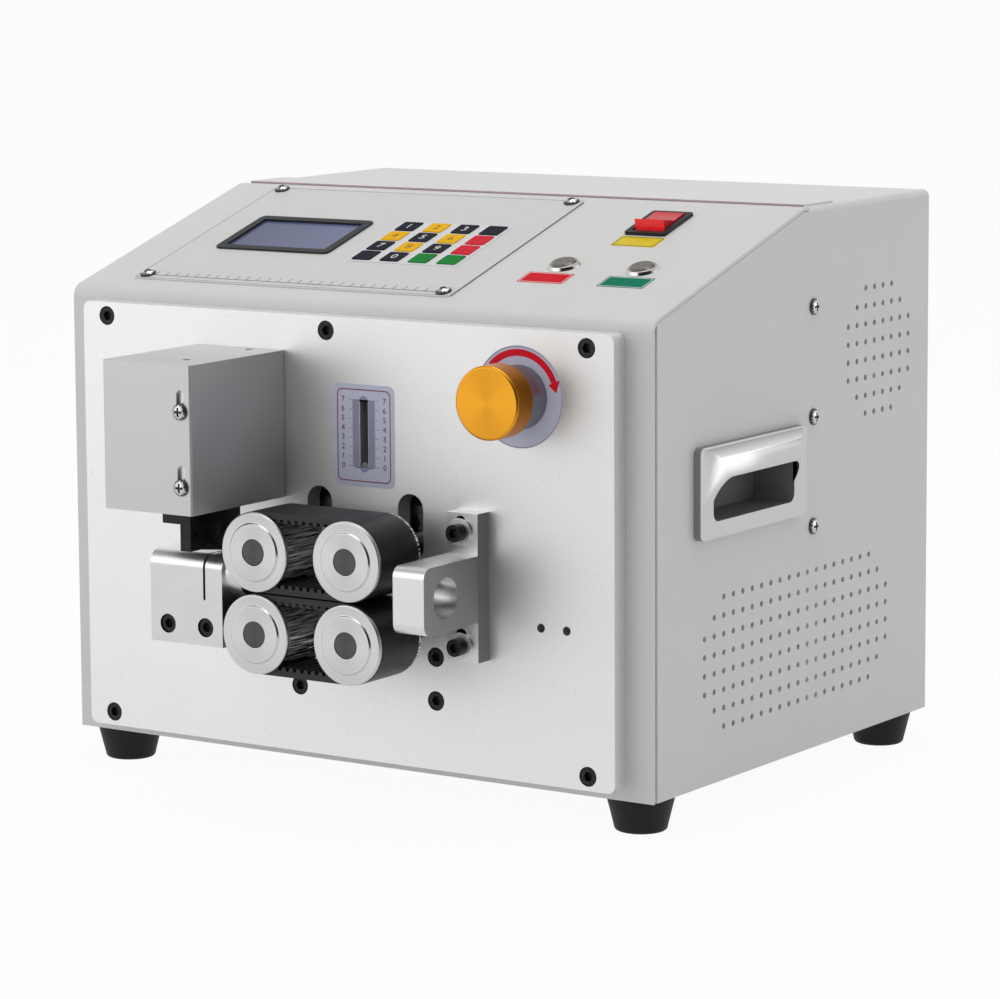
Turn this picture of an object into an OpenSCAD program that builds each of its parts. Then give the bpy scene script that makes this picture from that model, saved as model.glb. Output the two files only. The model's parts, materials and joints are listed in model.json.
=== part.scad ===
// Tube cutting machine: a bench cabinet with a sloped control panel, a thick front
// plate that carries two pairs of belt rollers, an inlet guide, an outlet die block
// and a guillotine blade under a box guard. X is to the right, Y to the back, Z up.

/* [Cabinet] */
// Width of the cabinet
cab_w = 400; // [380:1:440]
// Depth of the cabinet
cab_d = 316; // [290:1:360]
// Height of the upright front face above the cabinet's bottom
front_h = 264; // [262:1:290]
// Height of the top above the cabinet's bottom
rear_h = 314; // [306:1:350]
// Depth that the sloped panel takes
slope_d = 165; // [160:1:190]
// Thickness of the sheet metal
sheet_t = 2; // [1.5:0.1:2.5]
// Outer radius of the soft bends at both ends of the slope
slope_bend_r = 8; // [4:0.5:10]
// Outer radius of the cover's folds
fold_r = 4; // [3:0.5:8]
// Distance from the front face to the front edge of the cover's sides
cover_setback = 4.5; // [3:0.1:8]
// Distance from the slope's upper bend to the seam with the cover's top
seam_back = 6; // [4:0.5:12]
// Gap along seams between sheets
seam_gap = 0.3; // [0.2:0.05:0.5]
// Width of the flanges that back the cover
flange_w = 20; // [14:1:26]

/* [Feet and vents] */
// Height of a rubber foot
foot_h = 20; // [14:1:30]
// Diameter of a foot at the cabinet
foot_top_d = 38; // [30:1:42]
// Diameter of a foot at the bench
foot_base_d = 30; // [22:1:34]
// Distance from the cabinet's sides and ends to a foot's axis
foot_inset = 20.5; // [20:0.5:40]
// Diameter of a vent hole
vent_d = 3.5; // [2.5:0.1:5]
// Pitch of the vent holes
vent_pitch = 10.5; // [9:0.1:11]
// Height of the lower vent field's middle
vent_low_z = 67.3; // [62:0.1:72]
// Distance from the front face to the lower vent field's middle
vent_low_y = 159.6; // [150:0.1:170]
// Height of the upper vent field's middle
vent_high_z = 225.2; // [224:0.1:236]
// Distance from the back face to the upper vent field's middle
vent_high_back = 61.9; // [56:0.1:70]

/* [Side handles] */
// Length of a handle's frame
handle_l = 118; // [112:1:122]
// Height of a handle's frame
handle_h = 51.7; // [50:0.1:54]
// Distance from the front face to the handle's front end
handle_y = 42.6; // [40:0.1:48]
// Height of the handle frame's lower edge
handle_z = 139.3; // [134:0.1:142]
// Thickness of the handle's frame
handle_t = 4.5; // [3:0.1:6]
// How far the hood's lip stands out from the cabinet
hood_out = 11; // [8:0.1:14]
// Depth of the finger cup behind the cover
cup_depth = 24; // [18:1:34]
// Wall of the hood and the cup
handle_wall = 2; // [1.5:0.1:2.5]

/* [Control panel] */
// Width of the control overlay
overlay_w = 225; // [222:0.5:232]
// Distance from the overlay to the slope's upper end
overlay_back = 5.4; // [5:0.1:8]
// Thickness of the control overlay
overlay_t = 0.8; // [0.5:0.1:1.5]
// Distance from the cabinet's left side to the overlay
overlay_x = 32; // [26:0.5:36]
// Distance from the slope's front edge to the overlay
overlay_s = 17; // [14:0.5:18]
// Distance from the overlay's sides to its screws
overlay_screw_in = 7.25; // [5:0.25:9]
// Distance from the overlay's lower edge to its lower screws
overlay_screw_low = 6; // [5:0.5:8]
// Distance from the overlay's upper edge to its upper screws
overlay_screw_high = 4; // [4:0.5:8]
// Distance from the overlay's left edge to the display's bezel
display_in = 24.5; // [20:0.1:28]
// Distance from the overlay's right edge to the keypad
keypad_in = 21.8; // [18:0.1:26]
// Width of the display's bezel
bezel_w = 83; // [80:0.5:88]
// Height of the display's bezel
bezel_l = 52; // [50:0.5:56]
// Width of the visible display
glass_w = 72; // [68:0.5:76]
// Height of the visible display
glass_l = 41; // [38:0.5:44]
// Height of the display bezel above the overlay
bezel_t = 1.2; // [0.8:0.1:2]
// Side of a keypad key
key_w = 13; // [11:0.1:14]
// Pitch of the keypad's columns
key_pitch_x = 19.8; // [18:0.1:20]
// Pitch of the keypad's rows
key_pitch_s = 15.3; // [15:0.1:16]
// Height of a key above the membrane
key_t = 0.6; // [0.4:0.1:1]
// Diameter of a push button's rim
button_rim_d = 19; // [17:0.5:22]
// Height of a push button's rim above the panel
button_rim_h = 2; // [1.5:0.1:3]
// Travel of a push button
button_travel = 2.5; // [2:0.1:3]
// Distance between the stop and the start button
button_pitch = 51.5; // [45:0.5:54]
// Distance from the cabinet's right side to the start button's axis
start_in = 48; // [42:0.5:52]
// Distance from the slope's upper end to the buttons' axes
button_back = 101.4; // [94:0.1:108]
// Distance from the cabinet's right side to the rocker switch's middle
rocker_in = 75.5; // [70:0.5:80]
// Distance from the slope's upper end to the rocker switch's middle
rocker_back = 35.4; // [30:0.1:40]
// Width of the rocker switch's frame
rocker_frame_w = 27; // [25:0.5:30]
// Length of the rocker switch's frame
rocker_frame_l = 34; // [32:0.5:36]
// Angle that the rocker turns between its two ends
rocker_turn = 22; // [18:1:24]

/* [Front plate] */
// Width of the thick front plate
plate_w = 366; // [350:1:372]
// Height of the thick front plate
plate_h = 252; // [244:1:254]
// Thickness of the front plate
plate_t = 12; // [8:0.5:14]
// Height of the plate's lower edge above the cabinet's bottom
plate_z = 5.8; // [4:0.1:8]
// Distances from the plate's edges to the window behind it
window_in = 43; // [36:0.5:46]
window_in_right = 25; // [24:0.5:32]
window_in_z = 22; // [20:0.5:23]
// Diameter of a socket screw's head
socket_head_d = 10; // [9:0.1:10.4]
// Diameter of a socket screw's thread
socket_d = 6; // [5:0.1:6.4]
// Height of a socket screw's head
socket_head_h = 6; // [5:0.1:7]
// Diameter of a counterbore
counterbore_d = 11; // [10.6:0.1:12]
// Diameter of a pan head
pan_head_d = 9.4; // [8.4:0.1:10]
// Height of a pan head
pan_head_h = 2.8; // [2.2:0.1:3.2]
// Diameter of a pan screw's thread
pan_d = 5; // [4:0.1:5.2]
// Distance from the plate's sides to its edge screws
plate_screw_x = 17.5; // [14:0.5:22]
// Distance from the plate's upper and lower edge to its edge screws
plate_screw_z = 8.1; // [7.5:0.1:11]
// Diameter of the two tapped holes for accessories
accessory_d = 5; // [4:0.1:6]
// Distance between the two tapped holes for accessories
accessory_pitch = 16.7; // [14:0.1:20]
// Width of the pointer slot
pointer_slot_w = 5.4; // [5.2:0.1:6]
// Length of the pointer slot
pointer_slot_l = 42.6; // [40:0.1:46]

/* [Feed rollers] */
// Distance from the left to the right roller of a pair
roller_pitch_x = 62.5; // [62.5:2.5:67.5]
// Place of the left rollers' axis from the cabinet's middle plane
roller_left_x = -13.3; // [-15:0.1:-12]
// Height of the lower rollers' axis above the cabinet's bottom
lower_z = 85.2; // [83:0.1:88]
// Teeth of a roller's fluted core
core_teeth = 25; // [24:1:26]
// Pitch of the belt's teeth
belt_pitch = 5; // [5]
// Height of a belt tooth
tooth_h = 2.1; // [1.8:0.1:2.2]
// Thickness of the belt behind its teeth
belt_back_t = 3.3; // [2.4:0.1:3.6]
// Gap between the two belts when the rollers are closed
belt_gap = 0.9; // [0.6:0.1:4]
// Diameter of the roller flanges
flange_d = 45; // [43:0.1:45.2]
// Diameter of the raised ring on the front flange
flange_ring_d = 32; // [26:0.5:36]
// Height of the raised ring
flange_ring_h = 1; // [0.6:0.1:1.6]
// Thickness of a front flange
front_flange_t = 2.5; // [2:0.1:4]
// Thickness of a rear flange
rear_flange_t = 2; // [1.5:0.1:3]
// Length of the fluted core between its flanges
core_l = 35.5; // [30:0.5:38]
// Gap from the front plate to the rear flanges
roller_standoff = 23; // [20:0.5:24]
// Diameter of a roller's shaft
shaft_d = 15; // [12:0.5:15]
// Width of the arched slots that the upper shafts rise in
shaft_slot_w = 17; // [16:0.1:18]
// Height that the upper rollers lift
lift_travel = 20; // [16:0.5:20.5]
// Outer diameter of a shaft bearing
bearing_d = 32; // [28:0.5:34]
// Width of a shaft bearing
bearing_w = 9; // [7:0.5:10]
// Radial running clearance of shafts and posts
run_gap = 0.05; // [0.03:0.01:0.08]

/* [Inlet guide] */
// Width of the inlet guide along the tube
guide_w = 20.5; // [18:0.5:24]
// Height of the guide's mounting flange
guide_flange_h = 83.3; // [80:0.1:88]
// Thickness of the guide's mounting flange
guide_flange_t = 11.2; // [9:0.1:13]
// Height of the guide's arm
guide_arm_h = 37.4; // [34:0.1:42]
// Radius of the arm's front edges
guide_arm_r = 6; // [3:0.5:8]
// Diameter of the guide's tube bore
guide_bore_d = 23; // [16:0.5:26]
// Distance from the right rollers' axis to the guide's near side
guide_x = 31.9; // [30:0.1:36]
// Distance from the tube's path to the arm's front
guide_front = 21; // [18:0.5:24]
// Height of the guide bore above the lower rollers' axis
guide_rise = 28.2; // [26:0.1:31]
// Diameter of the washers on the guide
washer_d = 15.5; // [13:0.1:16]
// Thickness of those washers
washer_t = 1.6; // [1.2:0.1:2.4]

/* [Outlet block] */
// Width of the outlet block along the tube
outlet_w = 50.7; // [46:0.1:54]
// Height of the outlet block
outlet_h = 52; // [50:0.5:54]
// Depth of the outlet block in front of the plate
outlet_d = 58; // [54:0.5:60]
// Distance from the left rollers' axis to the outlet block's near side
outlet_x = 26.4; // [24:0.1:28]
// Height of the outlet block's foot below the lower rollers' axis
outlet_drop = 11.2; // [10:0.1:12]
// Radius of the block's upper front edge
outlet_r = 8; // [4:0.5:9]
// Diameter of the outlet bore
outlet_bore_d = 16; // [10:0.5:16.5]
// Width of the blade slit
slit_w = 1.6; // [1.3:0.1:2]
// Distance from the block's near side to the blade's plane
slit_x = 12.5; // [11:0.1:14]

/* [Cutter] */
// Travel of the blade
blade_travel = 23; // [20:0.5:23]
// Thickness of the blade
blade_t = 1; // [0.6:0.1:1.2]
// Rise of the blade's slanted edge from back to front
blade_slant = 5.5; // [3:0.5:6]
// Thickness of the blade holder
holder_w = 7.2; // [6:0.1:8]
// Width of the box guard
guard_w = 61.7; // [60:0.1:64]
// Height of the box guard
guard_h = 84; // [82:0.5:88]
// Depth of the box guard in front of the plate
guard_d = 88; // [86:0.5:94]
// Thickness of the guard's sheet
guard_t = 2; // [1.5:0.1:2.2]
// Gap from the outlet block's top to the guard's lower edge
guard_rise = 27; // [26:0.5:29]
// Distance between the two screws on the guard's front
guard_screw_pitch = 42.4; // [38:0.1:46]
// Length of the slots for the guard's screws
guard_slot_l = 15; // [12:0.5:18]
// Teeth of the cutter's pinion
cutter_teeth = 24; // [20:1:24]

/* [Lift knob] */
// Place of the knob's axis from the cabinet's middle plane
knob_x = 122; // [118:0.5:126]
// Height of the knob's axis above the cabinet's bottom
knob_z = 220.4; // [216:0.1:222]
// Diameter of the knob
knob_d = 41; // [34:0.5:46]
// Length of the knob
knob_l = 16; // [12:0.5:24]
// Diameter of the collar behind the knob
collar_d = 36; // [28:0.5:38]
// Length of the collar
collar_l = 16.5; // [12:0.5:24]
// Diameter of the lift shaft
lift_shaft_d = 12; // [8:0.5:14]
// Teeth of the lift pinion
lift_teeth = 20; // [18:1:22]

/* [Gears] */
// Module of the rack teeth
gear_m = 1; // [1]
// Pressure angle of the rack teeth
pressure_a = 20; // [20]
// Play between meshed flanks
backlash = 0.3; // [0.2:0.05:0.4]

/* [Hidden] */
$fn = 64;

// By how much a solid reaches into another that it is cut from or joined to
eps = 0.01;

// Slope of the control panel
slope_a = atan((rear_h - front_h) / slope_d);
slope_l = norm([slope_d, rear_h - front_h]);
seam_y = slope_d + seam_back;
inner_x = cab_w / 2 - sheet_t - seam_gap;
// Where the side's screw line runs, and the screws' heights
side_screw_y = seam_y + 5;
side_screw_z = [130, 193.4, 256.8];
// Height of the uprights that the side screws hold
upright_top = rear_h - 30;

// Fields of vent holes, as holes in each row
vent_low_rows = [17, 19, 21, 21, 21, 21, 19, 17];
vent_high_rows = [4, 6, 8, 8, 8, 8, 6, 4];

// Roller stack, from the plate's face outwards
plate_face = -plate_t;
rear_flange_y = plate_face - roller_standoff;
core_y = rear_flange_y - rear_flange_t;
front_flange_y = core_y - core_l;
ring_y = front_flange_y - front_flange_t;
shaft_end_y = ring_y - flange_ring_h;
feed_y = core_y - core_l / 2;
belt_edge_gap = 0.3;

core_pitch_r = core_teeth * belt_pitch / (2 * PI);
core_r = core_pitch_r - 0.57;
tooth_r = 1.5;
groove_gap = 0.08;
groove_play = 0.3;
belt_in_r = core_r + groove_gap;
belt_out_r = belt_in_r + belt_back_t;
upper_z = lower_z + 2 * belt_out_r + belt_gap;
roller_right_x = roller_left_x + roller_pitch_x;
roller_mid_x = (roller_left_x + roller_right_x) / 2;
belt_top_z = lower_z + belt_out_r;

// Outlet block and the blade's plane
outlet_right = roller_left_x - outlet_x;
outlet_left = outlet_right - outlet_w;
outlet_z = lower_z - outlet_drop;
outlet_top = outlet_z + outlet_h;
outlet_front = plate_face - outlet_d;
outlet_bore_z = belt_top_z - 0.3 + outlet_bore_d / 2;
blade_x = outlet_right - slit_x;
slit_z = outlet_z + 26.3;
outlet_screw_z = outlet_z + 10.5;
outlet_screw_in = 12;

// Blade holder at rest: its arm clears the block over the whole travel
arm_z = outlet_top + blade_travel + 1;
nose_z = outlet_top + 3.5;
nose_front = outlet_front - 12.4;
nose_back = outlet_front - 3.2;
holder_x = blade_x + blade_t / 2 - holder_w;
holder_top = arm_z + 16;
blade_back = outlet_front + 34;
blade_top = arm_z + 10;
slit_l = blade_back - outlet_front + 1;

// Box guard
guard_z = outlet_top + guard_rise;
guard_top = guard_z + guard_h;
guard_right = outlet_right + 2.9;
guard_left = guard_right - guard_w;
guard_front = plate_face - guard_d;
guard_screw_x = guard_right - 7;
guard_screw_low = guard_z + 15.6;
bracket_t = 6;
guard_hole_x = guard_right - 19.3;
guard_holes_y = [guard_front + 22.5, guard_front + 80.4];
guard_hole_d = 5;

// Vertical slide of the blade
cutter_r = gear_m * cutter_teeth / 2;
rail_w = 9;
rail_t = 8;
rail_x = guard_right - guard_t - 10.6;
block_w = 17;
block_t = 10;
block_front = plate_face - rail_t - 8;
web_t = 8;
web_left = rail_x - 12.2;
web_right = rail_x + block_w / 2;
web_front = block_front - web_t;
slide_top = guard_top - guard_t - bracket_t - 3;
rack_w = 8;
cutter_rack_x = web_left - 1.5;
pinion_x = cutter_rack_x - cutter_r;
pinion_z = slide_top - blade_travel - 10;

// Lift: the pinion turns with the knob and lifts the carriage's rack on its left
lift_r = gear_m * lift_teeth / 2;
lift_rack_x = knob_x - lift_r;
lift_gear_y = 8;
lift_gear_w = 8;
knob_front = plate_face - collar_l - knob_l;
rack_bar_w = 7;

// Carriage and lower block behind the plate
carriage_front = 4;
carriage_d = 26;
carriage_back = carriage_front + carriage_d;
carriage_left = roller_left_x - 32.7;
carriage_right = roller_right_x + 32.8;
carriage_z = upper_z - 18.5;
carriage_top = upper_z + 20.5;
post_d = 12;
post_in = 8;
post_y = carriage_front + carriage_d / 2;
block_z = 34;
block_top = lower_z + 18.5;
beam_t = 9;
beam_z = carriage_top + lift_travel + 8;
motor_plate_y = carriage_back + 26;
motor_plate_t = 6;
motor_face_y = motor_plate_y + motor_plate_t;
motor_w = 56.4;
motor_l = 76;
motor_shaft_d = 8;
small_motor_w = 42.3;
small_motor_l = 40;

// Pointer at the scale's zero mark
pointer_d = 5;
pointer_z = upper_z + 42.7;
pointer_slot_z = pointer_z - pointer_d / 2 - 0.3;

// Inlet guide
guide_left = roller_right_x + guide_x;
guide_bore_z = lower_z + guide_rise;
guide_face = plate_face - guide_flange_t;
guide_slot_l = 17;
guide_slot_in = 10.1;

// Loose mid-plane of the whole machine, which becomes Y = 0
inlet_lip_t = 2;
mid_y = (guard_front - pan_head_h + cab_d + inlet_lip_t) / 2;

// Places on the sloped panel
overlay_left = -cab_w / 2 + overlay_x;
panel_cx = overlay_left + overlay_w / 2;
overlay_l = slope_l - overlay_s - overlay_back;
overlay_cs = overlay_s + overlay_l / 2;
overlay_screws = [for (x = [-1, 1], s = [overlay_screw_low, overlay_l - overlay_screw_high])
    [panel_cx + x * (overlay_w / 2 - overlay_screw_in), overlay_s + s]];
display_x = overlay_left + display_in + bezel_w / 2;
display_s = overlay_cs + 0.3;
keypad_w = 4 * key_pitch_x - 2;
keypad_l = 4 * key_pitch_s + 2;
keypad_x = overlay_left + overlay_w - keypad_in - keypad_w / 2;
keypad_s = overlay_cs - 1.7;
start_x = cab_w / 2 - start_in;
stop_x = start_x - button_pitch;
button_s = slope_l - button_back;
button_hole_d = 16;
button_cap_d = 14.6;
button_cap_h = 1;
rocker_x = cab_w / 2 - rocker_in;
rocker_s = slope_l - rocker_back;
rocker_cut_w = rocker_frame_w - 3;
rocker_cut_l = rocker_frame_l - 3;
rocker_w = rocker_cut_w - 4.6;
rocker_l = rocker_cut_l - 8;
rocker_pivot = -4;
membrane_t = 0.3;

// Moves a node from the cabinet's corner frame to the machine's own frame
module place() translate([0, -mid_y, foot_h]) children();

// Extrudes an outline drawn as the front shows it, from y0 to y1
module from_front(y0, y1) translate([0, y1, 0]) rotate([90, 0, 0]) linear_extrude(y1 - y0) children();

// Extrudes an outline drawn as the right side shows it, from x0 to x1
module from_side(x0, x1) translate([x0, 0, 0]) rotate([90, 0, 90]) linear_extrude(x1 - x0) children();

// Puts children on the sloped panel, with Z along its outward normal
module on_slope(x, s) translate([0, 0, front_h]) rotate([slope_a, 0, 0]) translate([x, s, 0]) children();

// Round bar along Y
module bar_y(x, z, d, y0, y1) translate([x, y1, z]) rotate([90, 0, 0]) cylinder(d = d, h = y1 - y0);

// Rectangle with round corners about the origin
module round_rect(w, h, r) {
    square([w - 2 * r, h], center = true);
    square([w, h - 2 * r], center = true);
    for (x = [-1, 1], y = [-1, 1]) translate([x * (w / 2 - r), y * (h / 2 - r)]) circle(r);
}

// Upright slot with round ends, from its lower to its upper tip
module slot_up(w, l) {
    translate([-w / 2, w / 2]) square([w, l - w]);
    translate([0, w / 2]) circle(w / 2);
    translate([0, l - w / 2]) circle(w / 2);
}

// Points of a bend at corner p, on radius rr, from direction a to b
function bend(p, a, b, r, rr, n = 8) =
    let (run = r * tan((a - b) / 2), c = p - run * [cos(a), sin(a)] + r * [cos(a - 90), sin(a - 90)])
    [for (i = [0 : n]) let (f = a + (b - a) * i / n - 90) c - rr * [cos(f), sin(f)]];

function reversed(v) = [for (i = [len(v) - 1 : -1 : 0]) v[i]];

// Involute of the base circle as an angle, for radius q
function involute(q, base) = let (t = sqrt(max(0, pow(q / base, 2) - 1))) t * 180 / PI - atan(t);

// Outline of a spur gear with a tooth on its X axis
function gear_points(teeth) =
    let (r = gear_m * teeth / 2, base = r * cos(pressure_a), root = r - 1.25 * gear_m, tip = r + gear_m,
        half = 90 / teeth - backlash / 4 / r * 180 / PI + involute(r, base),
        steps = 4,
        low = max(base, root),
        side = [for (i = [0 : steps]) let (q = low + (tip - low) * i / steps) [q, half - involute(q, base)]])
    [for (k = [0 : teeth - 1]) let (c = 360 * k / teeth)
        each concat(
            [[root * cos(c - side[0][1]), root * sin(c - side[0][1])]],
            [for (s = side) [s[0] * cos(c - s[1]), s[0] * sin(c - s[1])]],
            [for (s = reversed(side)) [s[0] * cos(c + s[1]), s[0] * sin(c + s[1])]],
            [[root * cos(c + side[0][1]), root * sin(c + side[0][1])]])];

// Outline of a rack tooth that points along +X, about its pitch point
module rack_tooth() {
    half = PI * gear_m / 4 - backlash / 4;
    lean = tan(pressure_a);
    root = 1.25 * gear_m;
    polygon([[-root - eps, -half - root * lean], [gear_m, -half + gear_m * lean],
        [gear_m, half - gear_m * lean], [-root - eps, half + root * lean]]);
}

// Rack bar with teeth from z0 to z1, in mesh with a gear tooth at height zg
module rack_outline(bar, z0, z1, zg) {
    pitch = PI * gear_m;
    first = ceil((z0 + pitch / 2 - zg) / pitch - 0.5);
    last = floor((z1 - pitch / 2 - zg) / pitch - 0.5);
    translate([-1.25 * gear_m - bar, z0]) square([bar, z1 - z0]);
    for (k = [first : last]) translate([0, zg + (k + 0.5) * pitch]) rack_tooth();
}

// Socket head screw along +Y, its head's front face at y = 0
module socket_screw(l) {
    difference() {
        union() {
            bar_y(0, 0, socket_head_d, 0, socket_head_h);
            bar_y(0, 0, socket_d, 0, socket_head_h + l);
        }
        translate([0, 3.2, 0]) rotate([90, 0, 0]) cylinder(d = socket_head_d * 0.58, h = 4, $fn = 6);
    }
}

// Pan head screw along -Z with a domed, cross-slotted head above z = 0
module pan_screw(l) {
    slot = pan_head_d * 0.13;
    difference() {
        union() {
            rotate_extrude() intersection() {
                translate([0, -pan_head_d * 0.75 + pan_head_h]) circle(pan_head_d * 0.75);
                square([pan_head_d / 2, pan_head_h]);
            }
            translate([0, 0, -l]) cylinder(d = pan_d, h = l + eps);
        }
        for (a = [0, 90]) rotate(a)
            translate([0, 0, pan_head_h]) cube([pan_head_d * 0.55, slot, pan_head_h], center = true);
    }
}

// Screw hole through the plate with a counterbore from its front face
module plate_counterbore(x, z) {
    bar_y(x, z, socket_d + 0.6, plate_face - eps, eps);
    bar_y(x, z, counterbore_d, plate_face - eps, plate_face + socket_head_h + 0.6);
}

// Places of the plate's edge screws and of the lower block's
plate_screw_dx = plate_w / 2 - plate_screw_x;
block_screws = [[roller_left_x - 15.5, lower_z - 40.8], [roller_right_x + 16.2, lower_z - 14.9],
    [roller_right_x + 16.2, lower_z - 39.9]];
edge_screws = [for (x = [-1, 1], z = [plate_z + plate_screw_z, plate_z + plate_h - plate_screw_z])
    [x * plate_screw_dx, z]];
top_screw = [-7.8, plate_z + plate_h - plate_screw_z];

// Outline of the folded front sheet as the side shows it
function front_sheet() = concat(
    [[0, 0]],
    bend([0, front_h], 90, slope_a, slope_bend_r, slope_bend_r),
    bend([slope_d, rear_h], slope_a, 0, slope_bend_r, slope_bend_r),
    [[seam_y - seam_gap, rear_h], [seam_y - seam_gap, rear_h - sheet_t]],
    reversed(bend([slope_d, rear_h], slope_a, 0, slope_bend_r, slope_bend_r - sheet_t)),
    reversed(bend([0, front_h], 90, slope_a, slope_bend_r, slope_bend_r - sheet_t)),
    [[sheet_t, 0]]);

window_left = window_in - plate_w / 2;
window_right = plate_w / 2 - window_in_right;
window_w = window_right - window_left;
window_h = plate_h - 2 * window_in_z;
window_x = (window_left + window_right) / 2;
window_z = plate_z + window_in_z;

module front_panel() {
    color("gainsboro") place() {
        difference() {
            from_side(-cab_w / 2, cab_w / 2) polygon(front_sheet());
            from_front(-1, sheet_t + 1) translate([window_x, window_z + window_h / 2])
                round_rect(window_w, window_h, 4);
            for (p = concat(edge_screws, [top_screw])) bar_y(p[0], p[1], socket_d + 1, -1, sheet_t + 1);
            on_slope(display_x, display_s) cube([glass_w + 2, glass_l + 2, 10], center = true);
            on_slope(keypad_x, keypad_s) translate([0, keypad_l / 2 + 5, 0]) cube([30, 3, 10], center = true);
            for (p = overlay_screws) on_slope(p[0], p[1]) cylinder(d = pan_d, h = 10, center = true);
            for (x = [stop_x, start_x]) on_slope(x, button_s)
                cylinder(d = button_hole_d + 0.4, h = 10, center = true);
            on_slope(rocker_x, rocker_s) cube([rocker_cut_w, rocker_cut_l, 10], center = true);
        }
        for (side = [-1, 1]) side_return(side > 0 ? inner_x - sheet_t : -inner_x);
    }
}

// Return flange of the front sheet, just inside the cover's side
module side_return(x0) {
    from_side(x0, x0 + sheet_t) polygon([[sheet_t - eps, sheet_t + 1], [flange_w, sheet_t + 1],
        [flange_w, front_h - 2 * sheet_t], [sheet_t - eps, front_h - 2 * sheet_t - slope_bend_r / 2]]);
}

// Bottom and back in one sheet, with the uprights for the side screws
module chassis() {
    tray = concat(
        [[cab_d, rear_h - sheet_t - seam_gap]],
        bend([cab_d, 0], -90, -180, fold_r, fold_r),
        [[sheet_t, 0], [sheet_t, sheet_t]],
        reversed(bend([cab_d, 0], -90, -180, fold_r, fold_r - sheet_t)),
        [[cab_d - sheet_t, rear_h - sheet_t - seam_gap]]);
    color("gainsboro") place() difference() {
        union() {
            from_side(-inner_x, inner_x) polygon(tray);
            for (side = [-1, 1]) {
                x0 = side > 0 ? inner_x - sheet_t : -inner_x;
                from_side(x0, x0 + sheet_t) {
                    translate([side_screw_y - flange_w / 2, sheet_t - eps])
                        square([flange_w, upright_top - sheet_t]);
                    translate([flange_w + 4, sheet_t - eps])
                        square([cab_d - flange_w - 4 - sheet_t + eps, flange_w - 6]);
                }
                translate([side > 0 ? inner_x - 16 : -inner_x, side_screw_y + flange_w / 2 - sheet_t, sheet_t - eps])
                    cube([16, sheet_t, upright_top - sheet_t]);
            }
        }
        for (z = side_screw_z) translate([0, side_screw_y, z]) rotate([0, 90, 0])
            cylinder(d = pan_d, h = cab_w, center = true);
        from_front(cab_d - sheet_t - 1, cab_d + 1) translate([inlet_x, inlet_z])
            square([inlet_cut_w + 0.6, inlet_cut_h + 0.6], center = true);
        for (x = [-1, 1]) bar_y(inlet_x + x * inlet_screw_pitch / 2, inlet_z, 3.4, cab_d - sheet_t - 1, cab_d + 1);
        for (p = foot_places) translate([p[0], p[1], -1]) cylinder(d = foot_screw_d + 0.4, h = sheet_t + 2);
    }
}

foot_screw_d = 5;
foot_places = [for (x = [-1, 1], y = [foot_inset, cab_d - foot_inset]) [x * (cab_w / 2 - foot_inset), y]];

// Round holes of one vent field, centred, as the side shows it
module vent_field(rows) {
    for (r = [0 : len(rows) - 1], c = [0 : rows[r] - 1])
        translate([(c - (rows[r] - 1) / 2) * vent_pitch, ((len(rows) - 1) / 2 - r) * vent_pitch])
            circle(d = vent_d, $fn = 24);
}

// Folded cover: both sides and the top, with a hem along the seam
module cover() {
    edge = sheet_t / cos(slope_a) + seam_gap;
    leg = rear_h - fold_r;
    hem_d = 34;
    hem_t = 1.3;
    side = [[cover_setback, 0], [cab_d, 0], [cab_d, leg], [seam_y, leg], [seam_y, rear_h - edge],
        [slope_d, rear_h - edge], [cover_setback, front_h + cover_setback * tan(slope_a) - edge]];
    hood = concat(
        [[-cab_w / 2, leg - eps]],
        bend([-cab_w / 2, rear_h], 90, 0, fold_r, fold_r),
        bend([cab_w / 2, rear_h], 0, -90, fold_r, fold_r),
        [[cab_w / 2, leg - eps], [cab_w / 2 - sheet_t, leg - eps]],
        reversed(bend([cab_w / 2, rear_h], 0, -90, fold_r, fold_r - sheet_t)),
        reversed(bend([-cab_w / 2, rear_h], 90, 0, fold_r, fold_r - sheet_t)),
        [[-cab_w / 2 + sheet_t, leg - eps]]);
    color("gainsboro") place() {
        for (x0 = [-cab_w / 2, cab_w / 2 - sheet_t]) from_side(x0, x0 + sheet_t) difference() {
            polygon(side);
            translate([vent_low_y, vent_low_z]) vent_field(vent_low_rows);
            translate([cab_d - vent_high_back, vent_high_z]) vent_field(vent_high_rows);
            cup_outline(handle_wall + 0.5);
            for (z = side_screw_z) translate([side_screw_y, z]) circle(d = pan_d + 0.4);
        }
        from_front(seam_y, cab_d) polygon(hood);
        translate([fold_r - cab_w / 2, seam_y, rear_h - eps]) cube([cab_w - 2 * fold_r, hem_d, hem_t]);
    }
}

// Pan head screws: six at the sides, four on the overlay, two on the guard
module pan_screws() {
    color("silver") place() {
        for (side = [-1, 1], z = side_screw_z) translate([side * cab_w / 2, side_screw_y, z])
            rotate([0, side * 90, 0]) pan_screw(sheet_t + 4);
        for (p = overlay_screws) on_slope(p[0], p[1]) translate([0, 0, overlay_t]) pan_screw(sheet_t + 4);
        for (z = [0, guard_screw_pitch]) translate([guard_screw_x, guard_front, guard_screw_low + z])
            rotate([90, 0, 0]) pan_screw(guard_t + bracket_t);
    }
}

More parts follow.
